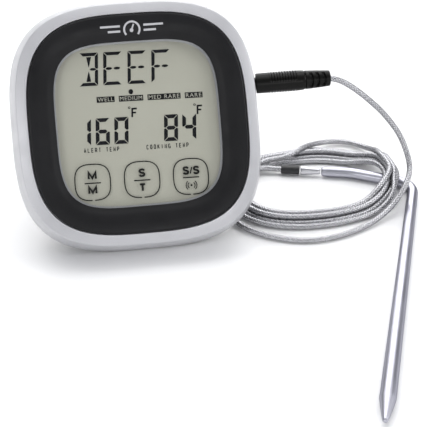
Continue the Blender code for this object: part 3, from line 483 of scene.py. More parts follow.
# (distance out, height) of each turn and of the arc after the last one, and on the coil's right
LANES = [(0.0, 0.9), (1.95, 0.9), (3.9, 0.9), (5.85, 0.9), (2.93, 2.5), (0.98, 2.5), (6.8, 2.6)]
RIGHT_LANES = [(0.0, 0.9), (1.85, 0.9), (3.7, 0.9), (2.78, 2.5), (0.93, 2.5), (1.85, 4.1)]
TURN_START = 185                    # degrees: behind the display, where each turn changes lane
LANE_CHANGE = 50                    # degrees that a change takes
LANE_HOPS = (0.0, 0.0, 0.0, 1.3, 0.0, 2.7)      # extra rise in the middle of a change
SPREADS = ((62, 0.27), (245, 0.12))     # (degrees, share) where the lanes lie wider apart
SPREAD_REACH = 50
RIGHT_MIDDLE, RIGHT_HALF, RIGHT_SLOPE = -3, 38, 30          # degrees: where RIGHT_LANES hold
BRIDGE_MIDDLE, BRIDGE_HALF, BRIDGE_SLOPE = -3.5, 49, 38     # degrees: where the coil rises
BRIDGE_RISE = 3.95                                          # over the probe
LOOSE_TURN = COIL_TURNS - 1         # the last turn swings wide of the others at the back
LOOSE = [(-40, 0.98, 2.5), (-24, 1.3, 3.8), (-10, 1.3, 4.1), (0, 0.9, 4.1), (10, 0.9, 4.1),
         (17.4, 2.2, 4.1), (25, 5.0, 3.7), (32.7, 8.2, 2.6), (40.8, 11.7, 1.4),
         (47.5, 13.4, 1.1), (56.2, 13.8, 1.1), (64.5, 12.7, 1.3), (71.4, 10.4, 1.8),
         (79, 7.0, 3.0), (85, 4.5, 3.9), (92, 1.9, 4.2), (102, 0.3, 3.9), (115, -0.5, 3.1),
         (135, 0.0, 3.4)]
TAIL = [(51.5, 24.56, 1.75), (49.2, 25.15, 1.75), (45.9, 26.1, 1.85), (42.3, 26.3, 2.3),
        (38.9, 24.9, 2.6), (36.4, 22.1, 2.5), (35.4, 19.0, 2.0), (35.25, 15.8, 1.2)]
ARC = [(28.1, 3.6, 1.8), (30.2, -3.6, 0.9), (35.4, -9.4, 0.9), (41.8, -13.2, 0.9),
       (48.8, -15.4, 0.9), (56.0, -15.3, 0.9), (63.4, -13.4, 0.9), (70.6, -10.0, 1.1),
       (76.8, -6.0, 2.2), (81.3, -2.8, 4.8), (84.65, 0.2, 7.8), (86.55, 3.3, 9.7),
       (87.35, 6.2, 11.7), (86.9, 8.4, 14.3), (85.8, 9.9, 17.6), (83.9, 10.8, 21.4),
       (81.4, 11.4, 24.9), (78.2, 11.4, 29.0), (74.9, 11.4, 32.4), (71.6, 11.6, 35.5),
       (68.6, 11.9, 38.0), (65.8, 12.3, 39.9), (63.2, 12.7, 41.2), (61.2, 12.89, 41.6),
       (59.4, 12.89, 41.61)]


def soft_step(value):
    value = min(1.0, max(0.0, value))
    return value * value * (3 - 2 * value)


def near(place, middle, half, slope):
    """One at a middle place, and down to zero at half a width from it, over a slope."""
    return soft_step((half - abs(place - middle)) / slope)


def coil_point(turn, angle):
    """Centre of the cable at an angle, in degrees from +X, of one turn of the coil."""
    c, s = cos(radians(angle)), sin(radians(angle))
    half_x, power = (COIL_RIGHT, 2.0) if c > 0 else (COIL_LEFT, 3.0)
    reach = reach_at(c, s, half_x, COIL_DEEP, power)
    place = (angle + 180) % 360 - 180
    out, height = LANES[turn]
    change = soft_step((angle - (TURN_START + 360 - LANE_CHANGE)) / LANE_CHANGE)
    if turn == LOOSE_TURN and LOOSE[0][0] < place < LOOSE[-1][0]:
        keys = list(zip(*LOOSE))
        out, height = np.interp(place, keys[0], keys[1]), np.interp(place, keys[0], keys[2])
    elif change > 0:
        next_out, next_height = LANES[turn + 1]
        if turn == LOOSE_TURN:
            out = LOOSE[-1][1]
        out += (next_out - out) * change
        height += (next_height - height) * change + sin(pi * change) * LANE_HOPS[turn]
    else:
        for middle, share in SPREADS:
            out *= 1 + share * near(angle % 360, middle, SPREAD_REACH, SPREAD_REACH)
        # sideways later and upwards earlier, so that the lanes pass without touching
        aside = near(place, RIGHT_MIDDLE, RIGHT_HALF, RIGHT_SLOPE)
        out += (RIGHT_LANES[turn][0] - out) * soft_step(1.6 * aside - 0.6)
        height += (RIGHT_LANES[turn][1] - height) * soft_step(1.6 * aside)
    reach += out
    height += BRIDGE_RISE * near(place, BRIDGE_MIDDLE, BRIDGE_HALF, BRIDGE_SLOPE)
    return Vector((COIL_X + c * reach, COIL_Y + s * reach, height))


def cable_route():
    """From the probe's sleeve, round the coil and up to the plug."""
    points = [Vector(p) for p in TAIL]
    for turn in range(COIL_TURNS):
        for step in range(0, 360, 8):
            points.append(coil_point(turn, TURN_START + step))
    return points + [Vector(p) for p in ARC]


def braid_relief(along, turns):
    """Low bulges where the braid's bundles cross."""
    first = pi * (BRAID_AROUND * turns + along / BRAID_STEP)
    second = pi * (BRAID_AROUND * turns - along / BRAID_STEP)
    return 0.025 * (np.abs(np.sin(first) * np.sin(second)) - 0.5)


cable_line = smooth_line(cable_route(), CABLE_SPACING)
# repeated averaging takes out the corners between the route's parts
for _ in range(SMOOTHING_PASSES):
    cable_line[1:-1] = (cable_line[:-2] + 2 * cable_line[1:-1] + cable_line[2:]) / 4
cable = tube("probe_cable", cable_line, np.full(len(cable_line), CABLE_RADIUS), braid_steel,
             "cable_braid", ("cable_lead", "cable_coil", "cable_tail"), relief=braid_relief,
             sharp=180)


# --- display unit: front ---
CASE_POWER, WINDOW_POWER = 3.2, 4.1
FASCIA_HALF, WINDOW_HALF = 32.6, 24.7
JACK_Y, JACK_Z = 9.8, -9.0


def lofted(name, rings, mat, slot, replaces=(), sharp=40):
    """Closed ring of the display unit, skinned over loops given as (points, z)."""
    bm = bmesh.new()
    loops = [[bm.verts.new((x, y, z)) for x, y in points] for points, z in rings]
    skin(bm, loops, joined=True)
    return add_piece(name, bm, "display_unit", mat, slot, UNIT, replaces, sharp)


def add_cutter(bm, matrix):
    mesh = as_mesh("cutter", bm)
    mesh.transform(matrix)
    return add_object("cutter", mesh)


def jack_hole_cutter(radius, low_x, high_x):
    """Round bar along the jack's axis, between two places across the face."""
    bm = bmesh.new()
    bmesh.ops.create_cone(bm, cap_ends=True, segments=48, radius1=radius * MM,
                          radius2=radius * MM, depth=(high_x - low_x) * MM,
                          matrix=Matrix.Translation(Vector(((low_x + high_x) / 2, JACK_Y,
                                                            JACK_Z)) * MM)
                          @ Matrix.Rotation(pi / 2, 4, "Y"))
    return add_cutter(bm, UNIT)


def cut(piece, cutter):
    """Take the cutter's shape out of a piece, then drop the cutter."""
    mod = piece.modifiers.new("cut", "BOOLEAN")
    mod.operation = "DIFFERENCE"
    mod.object = cutter
    bpy.context.view_layer.update()
    settle(piece)
    bpy.data.objects.remove(cutter, do_unlink=True)


def front_bezel():
    corners = [(32.9, 0.0), (36.0, -0.9), (36.55, -3.4), (38.0, -11.4), (38.0, -11.8),
               (36.2, -11.8), (34.1, -3.2), (31.4, -3.2), (31.4, -2.2), (32.9, -2.2)]
    profile = rounded(corners, 0.28)
    rings = [(outline(half, CASE_POWER), z) for half, z in profile]
    bezel = lofted("bezel", rings, silver, "silver_case", ("front_bezel",), sharp=60)
    cut(bezel, jack_hole_cutter(radius=2.2, low_x=33, high_x=42))


# the fascia's front from its outer edge to the window, as (half width, height)
FASCIA_TOP = [(FASCIA_HALF, -0.35), (32.45, -0.12), (31.9, 0.06), (30.8, 0.13), (29.4, 0.08),
              (28.0, -0.18), (26.8, -0.5), (25.8, -0.92), (25.15, -1.2), (24.82, -1.31),
              (WINDOW_HALF, -1.45)]
FASCIA_BACK = -1.9


def fascia_power(half):
    """Squareness of the fascia's outline: it grows from the case's to the window's."""
    inward = (FASCIA_HALF - half) / (FASCIA_HALF - WINDOW_HALF)
    return CASE_POWER + (WINDOW_POWER - CASE_POWER) * inward


def fascia_height(x, y):
    """Height of the fascia's front at a place on it."""
    half = max(abs(x), abs(y))
    for _ in range(12):
        power = fascia_power(half)
        half = (abs(x) ** power + abs(y) ** power) ** (1 / power)
    halves, heights = zip(*reversed(FASCIA_TOP))
    return float(np.interp(half, halves, heights))


def fascia():
    line = smooth_line([Vector((half, z, 0)) for half, z in FASCIA_TOP], 0.22)
    rings = [(outline(half, fascia_power(half)), z) for half, z, _ in line]
    rings += [(outline(WINDOW_HALF, WINDOW_POWER), FASCIA_BACK + 0.04),
              (outline(WINDOW_HALF + 0.05, WINDOW_POWER), FASCIA_BACK),
              (outline(FASCIA_HALF - 0.1, CASE_POWER), FASCIA_BACK),
              (outline(FASCIA_HALF, CASE_POWER), FASCIA_BACK + 0.1)]
    lofted("fascia", rings, fascia_black, "black_fascia", ("fascia_frame",))


def lens_edge():
    """Pale ground edge of the lens, just inside the window."""
    rings = [(outline(half, WINDOW_POWER), z)
             for half, z in ((24.95, -3.02), (24.95, -3.2), (24.3, -3.26), (24.25, -3.2))]
    lofted("lens_edge", rings, lens_rim, "lens", sharp=30)


front_bezel()
fascia()
lens_edge()


# --- display unit: what the screen shows ---
SLANT = 0.055                       # lean of the digits
TURN = Matrix.Rotation(radians(-1.3), 4, "Z")         # the display sits slightly turned
INK_THICK = 0.03
LCD_TOP, FILM_TOP = -3.9, -3.3
INK_Z, KEY_Z = LCD_TOP + 0.005, FILM_TOP + 0.01
LETTER_FOOT, LETTER_WIDE, LETTER_TALL, LETTER_BAR = 12.1, 5.6, 9.9, 0.98
DIGIT_FOOT, DIGIT_WIDE, DIGIT_TALL, DIGIT_BAR = -5.7, 4.25, 8.0, 1.14


def prism(bm, points, z):
    """Thin solid of a flat outline, lying on height z."""
    skin(bm, [[bm.verts.new((x, y, level)) for x, y in points] for level in (z, z + INK_THICK)])


def stroke(bm, points, half, z, closed=False):
    """Thin solid band of even width along a bent line, with mitred corners."""
    spots = [Vector(p) for p in points]
    count = len(spots)
    loops = []
    for i, spot in enumerate(spots):
        ways = []
        if closed or i > 0:
            ways.append((spot - spots[i - 1]).normalized())
        if closed or i < count - 1:
            ways.append((spots[(i + 1) % count] - spot).normalized())
        way = sum(ways, Vector((0, 0))).normalized()
        across = Vector((-way.y, way.x)) * half / max(0.4, way.dot(ways[0]))
        loops.append([bm.verts.new((*(spot + across * sign), level)) for sign, level in
                      ((1, z), (-1, z), (-1, z + INK_THICK), (1, z + INK_THICK))])
    skin(bm, loops, joined=closed)


def lens_shape(centre, half_x, half_y):
    """Small oval."""
    return [(centre[0] + half_x * cos(a), centre[1] + half_y * sin(a))
            for a in (2 * pi * k / 16 for k in range(16))]


def slanted(points, foot):
    """Points leaned over from the foot of their row."""
    return [(x + (y - foot) * SLANT, y) for x, y in points]


def segments(x, y, wide, tall, thick):
    """Outlines of a digit's seven bars, mitred where they meet, by their usual letters."""
    gap = 0.13
    half, top, mid, right = thick / 2, y + tall, y + tall / 2, x + wide
    flat = [(gap, 0), (wide - gap, 0), (wide - gap - thick, thick), (gap + thick, thick)]
    upright = [(0, gap), (thick, gap + thick), (thick, tall / 2 - half - gap * 0.7),
               (thick * 0.4, tall / 2 - gap * 0.7), (0, tall / 2 - gap * 2)]
    return {
        "a": [(x + a, top - b) for a, b in flat], "d": [(x + a, y + b) for a, b in flat],
        "f": [(x + a, top - b) for a, b in upright], "e": [(x + a, y + b) for a, b in upright],
        "b": [(right - a, top - b) for a, b in upright],
        "c": [(right - a, y + b) for a, b in upright],
        "g": [(x + thick * 0.5 + gap, mid), (x + thick + gap, mid + half),
              (right - thick - gap, mid + half), (right - thick * 0.5 - gap, mid),
              (right - thick - gap, mid - half), (x + thick + gap, mid - half)],
    }


def letter_bars(bm, x, lit):
    """Character cell with split centre bars; lit names the dark bars."""
    y, wide, tall = LETTER_FOOT, LETTER_WIDE, LETTER_TALL
    middle, mid, top = x + wide / 2, y + tall / 2, y + tall
    bars = segments(x, y, wide, tall, LETTER_BAR)
    bars["g"] = lens_shape((x + wide * 0.30, mid), 0.98, 0.42)
    bars["h"] = lens_shape((x + wide * 0.73, mid), 0.98, 0.42)
    bars["i"] = [(middle - 0.72, top - 1.25), (middle - 0.22, mid + 1.3), (middle, mid + 0.55),
                 (middle + 0.22, mid + 1.3), (middle + 0.72, top - 1.25)]
    bars["j"] = [(px, 2 * mid - py) for px, py in bars["i"]]
    for key in lit:
        prism(bm, slanted(bars[key], y), INK_Z)


def digit_bars(bm, x, lit):
    bars = segments(x, DIGIT_FOOT, DIGIT_WIDE, DIGIT_TALL, DIGIT_BAR)
    for key in lit:
        prism(bm, slanted(bars[key], DIGIT_FOOT), INK_Z)


def lettering(bm, text, low, size, z, thick):
    """Solid letters fitted to a box with its lower left corner at low."""
    curve = bpy.data.curves.new("letters", "FONT")
    curve.body = text
    curve.extrude = 0.5
    curve.space_character = 1.15
    curve.resolution_u = 4
    item = add_object("letters", curve)
    mesh = evaluated_mesh(item)
    spots = np.array([tuple(v.co) for v in mesh.vertices])
    least, most = spots.min(0), spots.max(0)
    share = (spots - least) / (most - least)
    verts = [bm.verts.new((low[0] + a * size[0], low[1] + b * size[1], z + c * thick))
             for a, b, c in share]
    for polygon in mesh.polygons:
        bm.faces.new([verts[i] for i in polygon.vertices])
    bpy.data.objects.remove(item, do_unlink=True)


def add_ink(name, bm, mat, slot, matrix=UNIT @ TURN):
    bmesh.ops.remove_doubles(bm, verts=bm.verts, dist=1e-5)
    add_piece(name, bm, "display_unit", mat, slot, matrix, sharp=20)


def screen_segments():
    bm = bmesh.new()
    for x, lit in ((-16.9, "abcdhij"), (-9.75, "adefgh"), (-2.45, "adefgh"), (4.75, "aefgh")):
        letter_bars(bm, x, lit)
    prism(bm, lens_shape((-1.65, 9.78), 0.72, 0.78), INK_Z)
    for x, lit in ((-18.8, "bc"), (-13.15, "acdefg"), (-7.55, "abcdef"),
                   (7.45, "abcdefg"), (13.0, "bcfg")):
        digit_bars(bm, x, lit)
    # a degree sign and an F after each number
    for x, y in ((-1.95, 2.1), (17.85, 1.95)):
        stroke(bm, [(x + 0.25, y), (x + 0.4, y + 2.55), (x + 1.8, y + 2.55)], 0.27, INK_Z)
        stroke(bm, [(x + 0.6, y + 1.35), (x + 1.5, y + 1.35)], 0.25, INK_Z)
        stroke(bm, lens_shape((x - 0.5, y + 2.9), 0.28, 0.28), 0.1, INK_Z, True)
    add_ink("screen_segments", bm, segment_ink, "lcd")


BOWL = [(0, 0), (0, 1), (0.8, 1), (1, 0.85), (1, 0.6), (0.8, 0.45), (0, 0.45)]
CAPTION_LETTERS = {                 # strokes on a unit square
    "A": [[(0, 0), (0.5, 1), (1, 0)], [(0.2, 0.35), (0.8, 0.35)]],
    "C": [[(1, 0.85), (0.75, 1), (0.2, 1), (0, 0.75), (0, 0.25), (0.2, 0), (0.75, 0), (1, 0.15)]],
    "E": [[(1, 0), (0, 0), (0, 1), (1, 1)], [(0, 0.5), (0.85, 0.5)]],
    "G": [[(1, 0.85), (0.75, 1), (0.2, 1), (0, 0.75), (0, 0.25), (0.2, 0), (1, 0), (1, 0.45),
           (0.6, 0.45)]],
    "I": [[(0.5, 0), (0.5, 1)]],
    "K": [[(0, 0), (0, 1)], [(1, 1), (0.1, 0.45)], [(0.35, 0.6), (1, 0)]],
    "L": [[(0, 1), (0, 0), (1, 0)]],
    "M": [[(0, 0), (0, 1), (0.5, 0.25), (1, 1), (1, 0)]],
    "N": [[(0, 0), (0, 1), (1, 0), (1, 1)]],
    "O": [[(0.2, 0), (0.8, 0), (1, 0.25), (1, 0.75), (0.8, 1), (0.2, 1), (0, 0.75), (0, 0.25),
           (0.2, 0)]],
    "P": [BOWL],
    "R": [BOWL, [(0.5, 0.45), (1, 0)]],
    "T": [[(0, 1), (1, 1)], [(0.5, 1), (0.5, 0)]],
}


def caption(bm, text, low, size):
    """Thin stroke letters spread evenly over a box."""
    half, gap = 0.11, 0.42
    pitch = (size[0] + gap) / len(text)
    for place, letter in enumerate(text):
        for line in CAPTION_LETTERS.get(letter, []):
            stroke(bm, [(low[0] + place * pitch + half + a * (pitch - gap - 2 * half),
                         low[1] + half + b * (size[1] - 2 * half)) for a, b in line],
                   half, INK_Z)


def screen_captions():
    """Doneness words, pale on dark bands, and a caption under each number."""
    dark, pale = bmesh.new(), bmesh.new()
    for text, x0, x1 in (("WELL", -12.05, -6.65), ("MEDIUM", -5.4, 1.97),
                         ("MED RARE", 3.27, 13.3), ("RARE", 14.56, 20.0)):
        prism(dark, [(x0, 6.95), (x1, 6.95), (x1, 8.7), (x0, 8.7)], INK_Z)
        lettering(pale, text, (x0 + 0.35, 7.25), (x1 - x0 - 0.7, 1.15), LCD_TOP + 0.05, 0.02)
    caption(dark, "ALERT TEMP", (-16.8, -7.85), (10.6, 1.4))
    caption(dark, "COOKING TEMP", (2.0, -7.85), (12.8, 1.4))
    add_ink("screen_captions", dark, segment_ink, "lcd")
    add_ink("screen_caption_letters", pale, lcd_grey, "lcd")


KEY_LETTERS = {                     # strokes on a unit square
    "M": [[(0, 0), (0, 1), (0.5, 0.12), (1, 1), (1, 0)]],
    "T": [[(0, 1), (1, 1)], [(0.5, 0.95), (0.5, 0)]],
    "/": [[(0, 0), (1, 1)]],
    "S": [[(0.97, 0.8), (0.8, 0.96), (0.48, 1.0), (0.15, 0.94), (0.03, 0.76), (0.2, 0.58),
           (0.5, 0.5), (0.82, 0.42), (0.98, 0.23), (0.82, 0.05), (0.5, 0.0), (0.17, 0.04),
           (0.02, 0.2)]],
}


KEY_Y, KEY_HALF_X, KEY_HALF_Y, KEY_POWER = -16.75, 5.3, 5.4, 2.9
KEY_GAP = 0.07                      # radians left open on each side of a ring's foot


def key_letter(bm, letter, x, y, wide):
    tall, half = 2.6, 0.32
    for line in KEY_LETTERS[letter]:
        spots = [Vector((x + half + a * (wide - 2 * half), y + half + b * (tall - 2 * half)))
                 for a, b in line]
        if letter == "S":
            spots = smooth_line(spots, 0.2)
        stroke(bm, spots, 0.2 if letter == "/" else half, KEY_Z)


def touch_keys():
    """Three open rings, each with a letter or sign above and below its bar."""
    bm = bmesh.new()
    for x in (-14.8, 0.05, 14.85):
        ring = []
        for step in range(97):
            angle = -pi / 2 + KEY_GAP + (2 * pi - 2 * KEY_GAP) * step / 96
            c, s = cos(angle), sin(angle)
            reach = reach_at(c, s, KEY_HALF_X, KEY_HALF_Y, KEY_POWER)
            ring.append((x + c * reach, KEY_Y + s * reach))
        stroke(bm, ring, 0.17, KEY_Z)
        stroke(bm, [(x - 2.45, -17.0), (x + 2.45, -17.0)], 0.18, KEY_Z)
    for letter, x, y, wide in (("M", -14.85, -16.05, 2.75), ("M", -14.95, -20.4, 2.75),
                               ("S", 0.1, -16.05, 2.1), ("T", 0.05, -20.5, 2.2),
                               ("S", 13.4, -16.2, 2.05), ("/", 14.95, -16.2, 1.2),
                               ("S", 16.55, -16.2, 2.05)):
        key_letter(bm, letter, x - wide / 2, y, wide)
    prism(bm, lens_shape((14.85, -19.4), 0.32, 0.32), KEY_Z)
    for reach in (1.05, 1.65):
        for side in (0, pi):
            stroke(bm, [(14.85 + reach * cos(side + radians(a)),
                         -19.4 + reach * sin(side + radians(a))) for a in range(-48, 49, 8)],
                   0.13, KEY_Z)
    add_ink("touch_keys", bm, key_ink, "film")


def fascia_emblem():
    """Plain printed mark on the fascia: a dial with a needle between two pairs of lines."""
    bm = bmesh.new()
    x, y = 0.2, 28.35
    stroke(bm, [(x + 2.3 * cos(radians(a)), y - 0.35 + 2.3 * sin(radians(a)))
                for a in range(-40, 221, 10)], 0.28, 0)
    stroke(bm, [(x - 0.1, y - 0.5), (x + 0.25, y + 0.35), (x + 0.6, y + 1.2)], 0.22, 0)
    prism(bm, lens_shape((x - 0.1, y - 0.6), 0.55, 0.55), 0)
    for side in (-1, 1):
        for level, near, far in ((0.75, 3.5, 9.4), (-0.75, 3.5, 7.2)):
            stroke(bm, [(x + side * (near + (far - near) * k / 8), y + level)
                        for k in range(9)], 0.3, 0)
    for vert in bm.verts:
        vert.co.z += fascia_height(vert.co.x, vert.co.y) + 0.015
    add_ink("fascia_emblem", bm, pale_ink, "black_fascia", UNIT)


screen_segments()
screen_captions()
touch_keys()
fascia_emblem()


# --- plug ---
PLUG = TABLE @ Matrix.Translation(Vector((0, JACK_Y * sin(LEAN) - JACK_Z * cos(LEAN),
                                          UNIT_HEIGHT + JACK_Y * cos(LEAN)
                                          + JACK_Z * sin(LEAN))) * MM)


NOTCH_START, NOTCH_STEP, NOTCHES = 42.1, 0.86, 10


def plug_body():
    """Grip with notches across two pads; its near end is slanted to the bezel's side."""
    profile = [(0.3, 37.5), (1.75, 37.5), (1.9, 37.55), (2.2, 37.62), (2.9, 37.64),
               (3.05, 37.76), (3.1, 38.1), (3.12, 41.0), (3.12, 50.6), (3.08, 51.8),
               (3.0, 52.5), (2.88, 52.8), (2.7, 52.9), (0.3, 52.9)]
    side_slope = 0.181

    def notches(x, angle, radius):
        if radius > 1.95 and x < 41:
            facing = -cos(angle) * cos(LEAN) + sin(angle) * sin(LEAN)
            x -= side_slope * radius * facing * (1 - soft_step((x - 37.7) / 3.3))
        place = (x - NOTCH_START) / NOTCH_STEP
        if radius < 3 or not -0.5 < place < NOTCHES - 0.5:
            return x, radius
        pad = soft_step((62 - abs(degrees(angle) % 180 - 90)) / 9)
        notch = soft_step((0.27 - abs(place - round(place))) / 0.1)
        return x, radius + pad * (0.09 - 0.42 * notch)

    return turned("plug_grip", stations(rounded(profile, 0.05, closed=False, steps=2), 0.07),
                  "probe_set", plug_black, "plug_black", PLUG, ("plug_body",), sides=96,
                  sharp=50, warp=notches)


def strain_relief():
    """Tapered relief with slots on both sides, so that it bends with the cable."""
    start, end = 53.0, 60.9
    profile = [(0.3, start), (2.72, start)]
    profile += [(2.87 - 0.42 * share ** 1.3, start + 0.2 + (end - 0.5 - start) * share)
                for share in (k / 20 for k in range(21))]
    profile += [(2.35, end - 0.14), (2.15, end), (1.0, end), (0.95, end - 0.8), (0.3, end - 0.8)]

    def slots(x, angle, radius):
        turn = (degrees(angle) - 160) % 180
        turn = min(turn, 180 - turn)
        row = (x - 54.9 + 0.35 * (turn / 60) ** 2) / 2.0
        if radius < 2.0 or not -0.4 < row < 2.4:
            return x, radius
        within = abs(row - round(row)) * 2.0
        return x, radius - 0.8 * soft_step((0.5 - within) / 0.14) * soft_step((62 - turn) / 8)

    return turned("plug_relief", stations(profile, 0.07), "probe_set", plug_black,
                  "plug_black", PLUG, ("plug_strain_relief",), sides=96, sharp=50, warp=slots)


def plug_contacts():
    """Gilt tip and sleeve of the jack pin, with the insulating ring between them."""
    tip = [(0.1, 28.0), (0.45, 28.03), (0.75, 28.22), (1.15, 28.95), (1.25, 29.25),
           (1.22, 29.45), (0.95, 29.9), (0.97, 30.1), (1.22, 30.55), (1.25, 30.8),
           (1.25, 31.4), (0.1, 31.4)]
    insulator = [(0.1, 31.5), (1.22, 31.5), (1.22, 32.1), (0.1, 32.1)]
    sleeve = [(0.1, 32.2), (1.25, 32.2), (1.25, 34.6), (1.25, 37.4), (0.1, 37.4)]
    return [turned(name, rounded(profile, radius, closed=False, steps=steps), "probe_set", mat,
                   slot, PLUG, (node,), sides=48)
            for name, profile, radius, steps, mat, slot, node in (
                ("plug_contact_tip", tip, 0.06, 3, gold, "gold_plate", "plug_tip"),
                ("plug_contact_ring", insulator, 0.05, 5, black, "black_plastic",
                 "plug_insulator"),
                ("plug_contact_sleeve", sleeve, 0.05, 5, gold, "gold_plate", "plug_sleeve"))]


grip = plug_body()
relief = strain_relief()
contacts = plug_contacts()


# --- probe ---
PROBE_NECK, PROBE_TIP = Vector((62.2, 21.8)), Vector((51.2, -99.4))
PROBE_BENDS = [(Vector((71.5, 19.4)), 24.0), (Vector((90.4, 9.2)), 6.5)]
NECK_RADIUS, SHAFT_RADIUS = 1.75, 2.3


def probe_line():
    """Centreline of the probe, neck to tip, at table height for its radius."""
    corners = [corner for corner, _ in PROBE_BENDS]
    ways = zip([PROBE_NECK] + corners, corners, corners[1:] + [PROBE_TIP], PROBE_BENDS)
    flat = [PROBE_NECK]
    for before, corner, after, (_, radius) in ways:
        back, ahead = (before - corner).normalized(), (after - corner).normalized()
        half_angle = back.angle(ahead) / 2
        tangent = radius / tan(half_angle)
        centre = corner + (back + ahead).normalized() * radius / sin(half_angle)
        first, last = corner + back * tangent - centre, corner + ahead * tangent - centre
        sweep = last.angle_signed(first)
        steps = max(4, round(abs(sweep) * 24))
        flat += [centre + Matrix.Rotation(sweep * k / steps, 2) @ first for k in range(steps + 1)]
    flat.append(PROBE_TIP)
    spots = np.array([(p.x, p.y, 0.0) for p in flat])
    along = lengths_along(spots)
    even = np.linspace(0, along[-1], round(along[-1] / 0.5) + 1)
    return resampled(spots, along, even), even


# (distance from the front end, radius) of the two sleeves behind the neck
CRIMP = [(0.0, 0.75), (0.03, 0.95), (0.3, 1.06), (0.8, 1.12), (1.4, 1.14), (3.0, 1.27),
         (4.2, 1.38), (5.4, 1.5), (6.0, 1.55), (6.35, 1.52), (6.55, 1.4), (6.6, 1.2)]
BOOT = [(0.0, 1.1), (0.04, 1.32), (0.2, 1.46), (0.5, 1.5), (5.7, 1.48), (6.0, 1.44),
        (6.16, 1.32), (6.2, 1.05)]
SLEEVE_GAP = 0.3


def probe():
    """Bent steel tube, then the crimp and the boot in line behind its neck."""
    line, even = probe_line()
    total = even[-1]
    # finer stations where the tube is swaged and where it tapers to its tip
    dense = np.unique(np.concatenate((np.linspace(0, 3, 25), even[even > 3][:-1],
                                      np.linspace(total - 10, total, 80))))
    spots = resampled(line, even, dense)
    from_tip = total - dense
    shaft = np.interp(from_tip, [9.5, 108.0], [SHAFT_RADIUS, NECK_RADIUS])
    spots[:, 2] = shaft
    swage = [(0.0, 0.8), (0.05, 1.2), (0.5, 1.45), (1.3, 1.65), (2.4, 1.75)]
    taper = [(9.5, 1.0), (8.9, 0.985), (6.0, 0.79), (3.0, 0.56), (1.1, 0.40), (0.6, 0.34),
             (0.3, 0.25), (0.1, 0.15), (0.0, 0.03)]
    radii = np.minimum(shaft, np.interp(dense, *zip(*swage), right=9.0))
    radii *= np.interp(from_tip, *zip(*sorted(taper)))
    tube("probe_needle", spots, radii, probe_steel, "probe_steel", ("probe_tube",), sides=48,
         sharp=50)
    heading = (spots[1] - spots[0]) / np.linalg.norm(spots[1] - spots[0])
    start = spots[0]
    for name, profile, mat, slot, node, sides in (
            ("probe_ferrule", CRIMP, ferrule_steel, "probe_steel", "probe_crimp", 48),
            ("probe_boot", BOOT, black, "sleeve_black", "cable_sleeve", 40)):
        start = start - heading * SLEEVE_GAP
        long = profile[-1][0]
        steps = np.linspace(0, long, round(10 * long) + 1)
        tube(name, np.array([start - heading * s for s in steps]),
             np.interp(steps, *zip(*profile)), mat, slot, (node,), sides=sides, sharp=60)
        start = start - heading * long


probe()


# --- screws of the case ---
SCREW_PLACES = [(-21.5, 27.2), (21.5, 27.2), (-20.0, -23.0), (20.0, -23.0)]
SCREW_HEAD = [(1.45, -21.5), (1.7, -21.42), (1.84, -21.28), (1.9, -21.1), (1.9, -20.2),
              (0.85, -20.2), (0.85, -8.4), (0.3, -7.7)]
RECESS_LONG, RECESS_WIDE, RECESS_FLOOR = 1.1, 0.26, -20.85


def block_cutter(centre, half_x, half_y, low, high):
    bm = bmesh.new()
    bmesh.ops.create_cube(bm, size=1.0)
    size = Matrix.Diagonal((2 * half_x, 2 * half_y, high - low, 1.0))
    middle = Matrix.Translation((centre[0], centre[1], (low + high) / 2))
    return add_cutter(bm, UNIT @ Matrix.Scale(MM, 4) @ middle @ size)


def case_screws():
    """Pan-head screws with a cross recess, seen from behind."""
    upright = Matrix.Rotation(-pi / 2, 4, "Y")
    for number, (x, y) in enumerate(SCREW_PLACES, 1):
        place = UNIT @ Matrix.Translation((x * MM, y * MM, 0)) @ upright
        screw = turned(f"screw_{number}", SCREW_HEAD, "display_unit", screw_steel, "steel",
                       place, (f"case_screw_{number}",), sides=48, sharp=35)
        for half_x, half_y in ((RECESS_LONG, RECESS_WIDE), (RECESS_WIDE, RECESS_LONG)):
            cut(screw, block_cutter((x, y), half_x, half_y, low=-22.5, high=RECESS_FLOOR))


case_screws()


# --- CAD nodes that stay as they are, with finished materials ---
def smooth_group():
    """Geometry nodes that shade smooth everywhere except across sharp edges."""
    group = bpy.data.node_groups.new("smooth_faces", "GeometryNodeTree")
    for side in ("INPUT", "OUTPUT"):
        group.interface.new_socket("Geometry", in_out=side, socket_type="NodeSocketGeometry")
    add, link = group.nodes.new, group.links.new
    start, end = add("NodeGroupInput"), add("NodeGroupOutput")
    faces, edges = add("GeometryNodeSetShadeSmooth"), add("GeometryNodeSetShadeSmooth")
    edges.domain = "EDGE"
    edges.inputs["Shade Smooth"].default_value = False
    sharp = add("FunctionNodeCompare")
    sharp.inputs[1].default_value = radians(28)
    link(add("GeometryNodeInputMeshEdgeAngle").outputs[0], sharp.inputs[0])
    link(start.outputs[0], faces.inputs[0])
    link(faces.outputs[0], edges.inputs[0])
    link(sharp.outputs[0], edges.inputs["Selection"])
    link(edges.outputs[0], end.inputs[0])
    return group


smooth_faces = smooth_group()


def paint(mat, *names, edge=0.0):
    """Finish a CAD node: its material, softened edges of a given width and smooth shading."""
    for name in names:
        node = nodes[name]
        node.data.materials.clear()
        node.data.materials.append(mat)
        if edge:
            weld = node.modifiers.new("weld", "WELD")
            weld.merge_threshold = 1e-6
            bevel = node.modifiers.new("edge", "BEVEL")
            bevel.width = edge * MM
            bevel.segments = 2
            bevel.limit_method = "ANGLE"
            bevel.angle_limit = radians(35)
        smooth = node.modifiers.new("smooth", "NODES")
        smooth.node_group = smooth_faces
        normals = node.modifiers.new("normals", "WEIGHTED_NORMAL")
        normals.keep_sharp = True


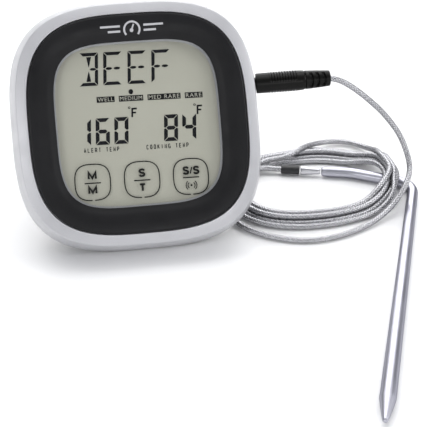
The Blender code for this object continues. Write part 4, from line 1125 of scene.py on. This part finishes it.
paint(lens_clear, "touch_lens")
paint(film_clear, "touch_film")
paint(lcd_grey, "lcd_panel")
paint(white, "display_tray")
paint(pink, "zebra_strip_upper", "zebra_strip_lower")
paint(board, "main_pcb")
paint(epoxy, "processor_chip", "buzzer", "thermistor_bead")
paint(black, "jack_socket", "power_switch_knob", "unit_tact_switch")
paint(rear_grey, "rear_case", "stand", "unit_button", edge=0.25)
paint(rear_grey, "battery_door")
paint(upper_wrap, "battery_cell_upper")
paint(lower_wrap, "battery_cell_lower")
paint(rubber, "stand_foot_pad", edge=0.2)
paint(magnet_steel, "magnet_left", "magnet_right", edge=0.2)
paint(steel, "clock_crystal", "contact_link_plate", "contact_plate_positive",
      "contact_plate_negative", "contact_spring_upper", "contact_spring_lower",
      "stand_hinge_pin", "power_switch_body", "board_screw_1", "board_screw_2")


# --- floor and light ---
def add_floor():
    bm = bmesh.new()
    bmesh.ops.create_grid(bm, x_segments=1, y_segments=1, size=12.0)
    mesh = as_mesh("floor", bm)
    n = Nodes("floor")
    pale = n.blend(n.between(n.noise(3, 2), 0, 1), (0.93,) * 3, (0.945,) * 3)
    mesh.materials.append(n.finish(pale, 0.9))
    floor = add_object("floor", mesh)
    floor.location.z = -0.2 * MM


def add_light(name, kind, place, energy):
    data = bpy.data.lights.new(name, kind)
    data.energy = energy
    aim(add_object(name, data), place, (0, 0, 20))
    return data


def add_area(name, place, size, watts):
    data = add_light(name, "AREA", place, watts)
    data.shape = "RECTANGLE"
    data.size, data.size_y = size[0] * MM, size[1] * MM


def add_world():
    world = bpy.data.worlds.new("studio")
    bpy.context.scene.world = world
    world.use_nodes = True
    back = world.node_tree.nodes["Background"]
    back.inputs["Color"].default_value = (0.93, 0.95, 1.0, 1.0)
    back.inputs["Strength"].default_value = 0.36


add_floor()
add_world()
add_area("left", (-780, -680, 430), (500, 500), 2.3)
add_area("right", (950, -250, 520), (500, 500), 3.7)
add_area("front", (300, -1500, 500), (700, 350), 3.6)
add_area("top", (0, 350, 900), (800, 500), 2.6)
# a very wide soft sun keeps the far floor as pale as the near floor
add_light("sky", "SUN", (0, 350, 820), 1.5).angle = radians(80)
add_area("back", (100, 900, 450), (1000, 500), 4.4)
bpy.context.scene.view_settings.view_transform = "Standard"
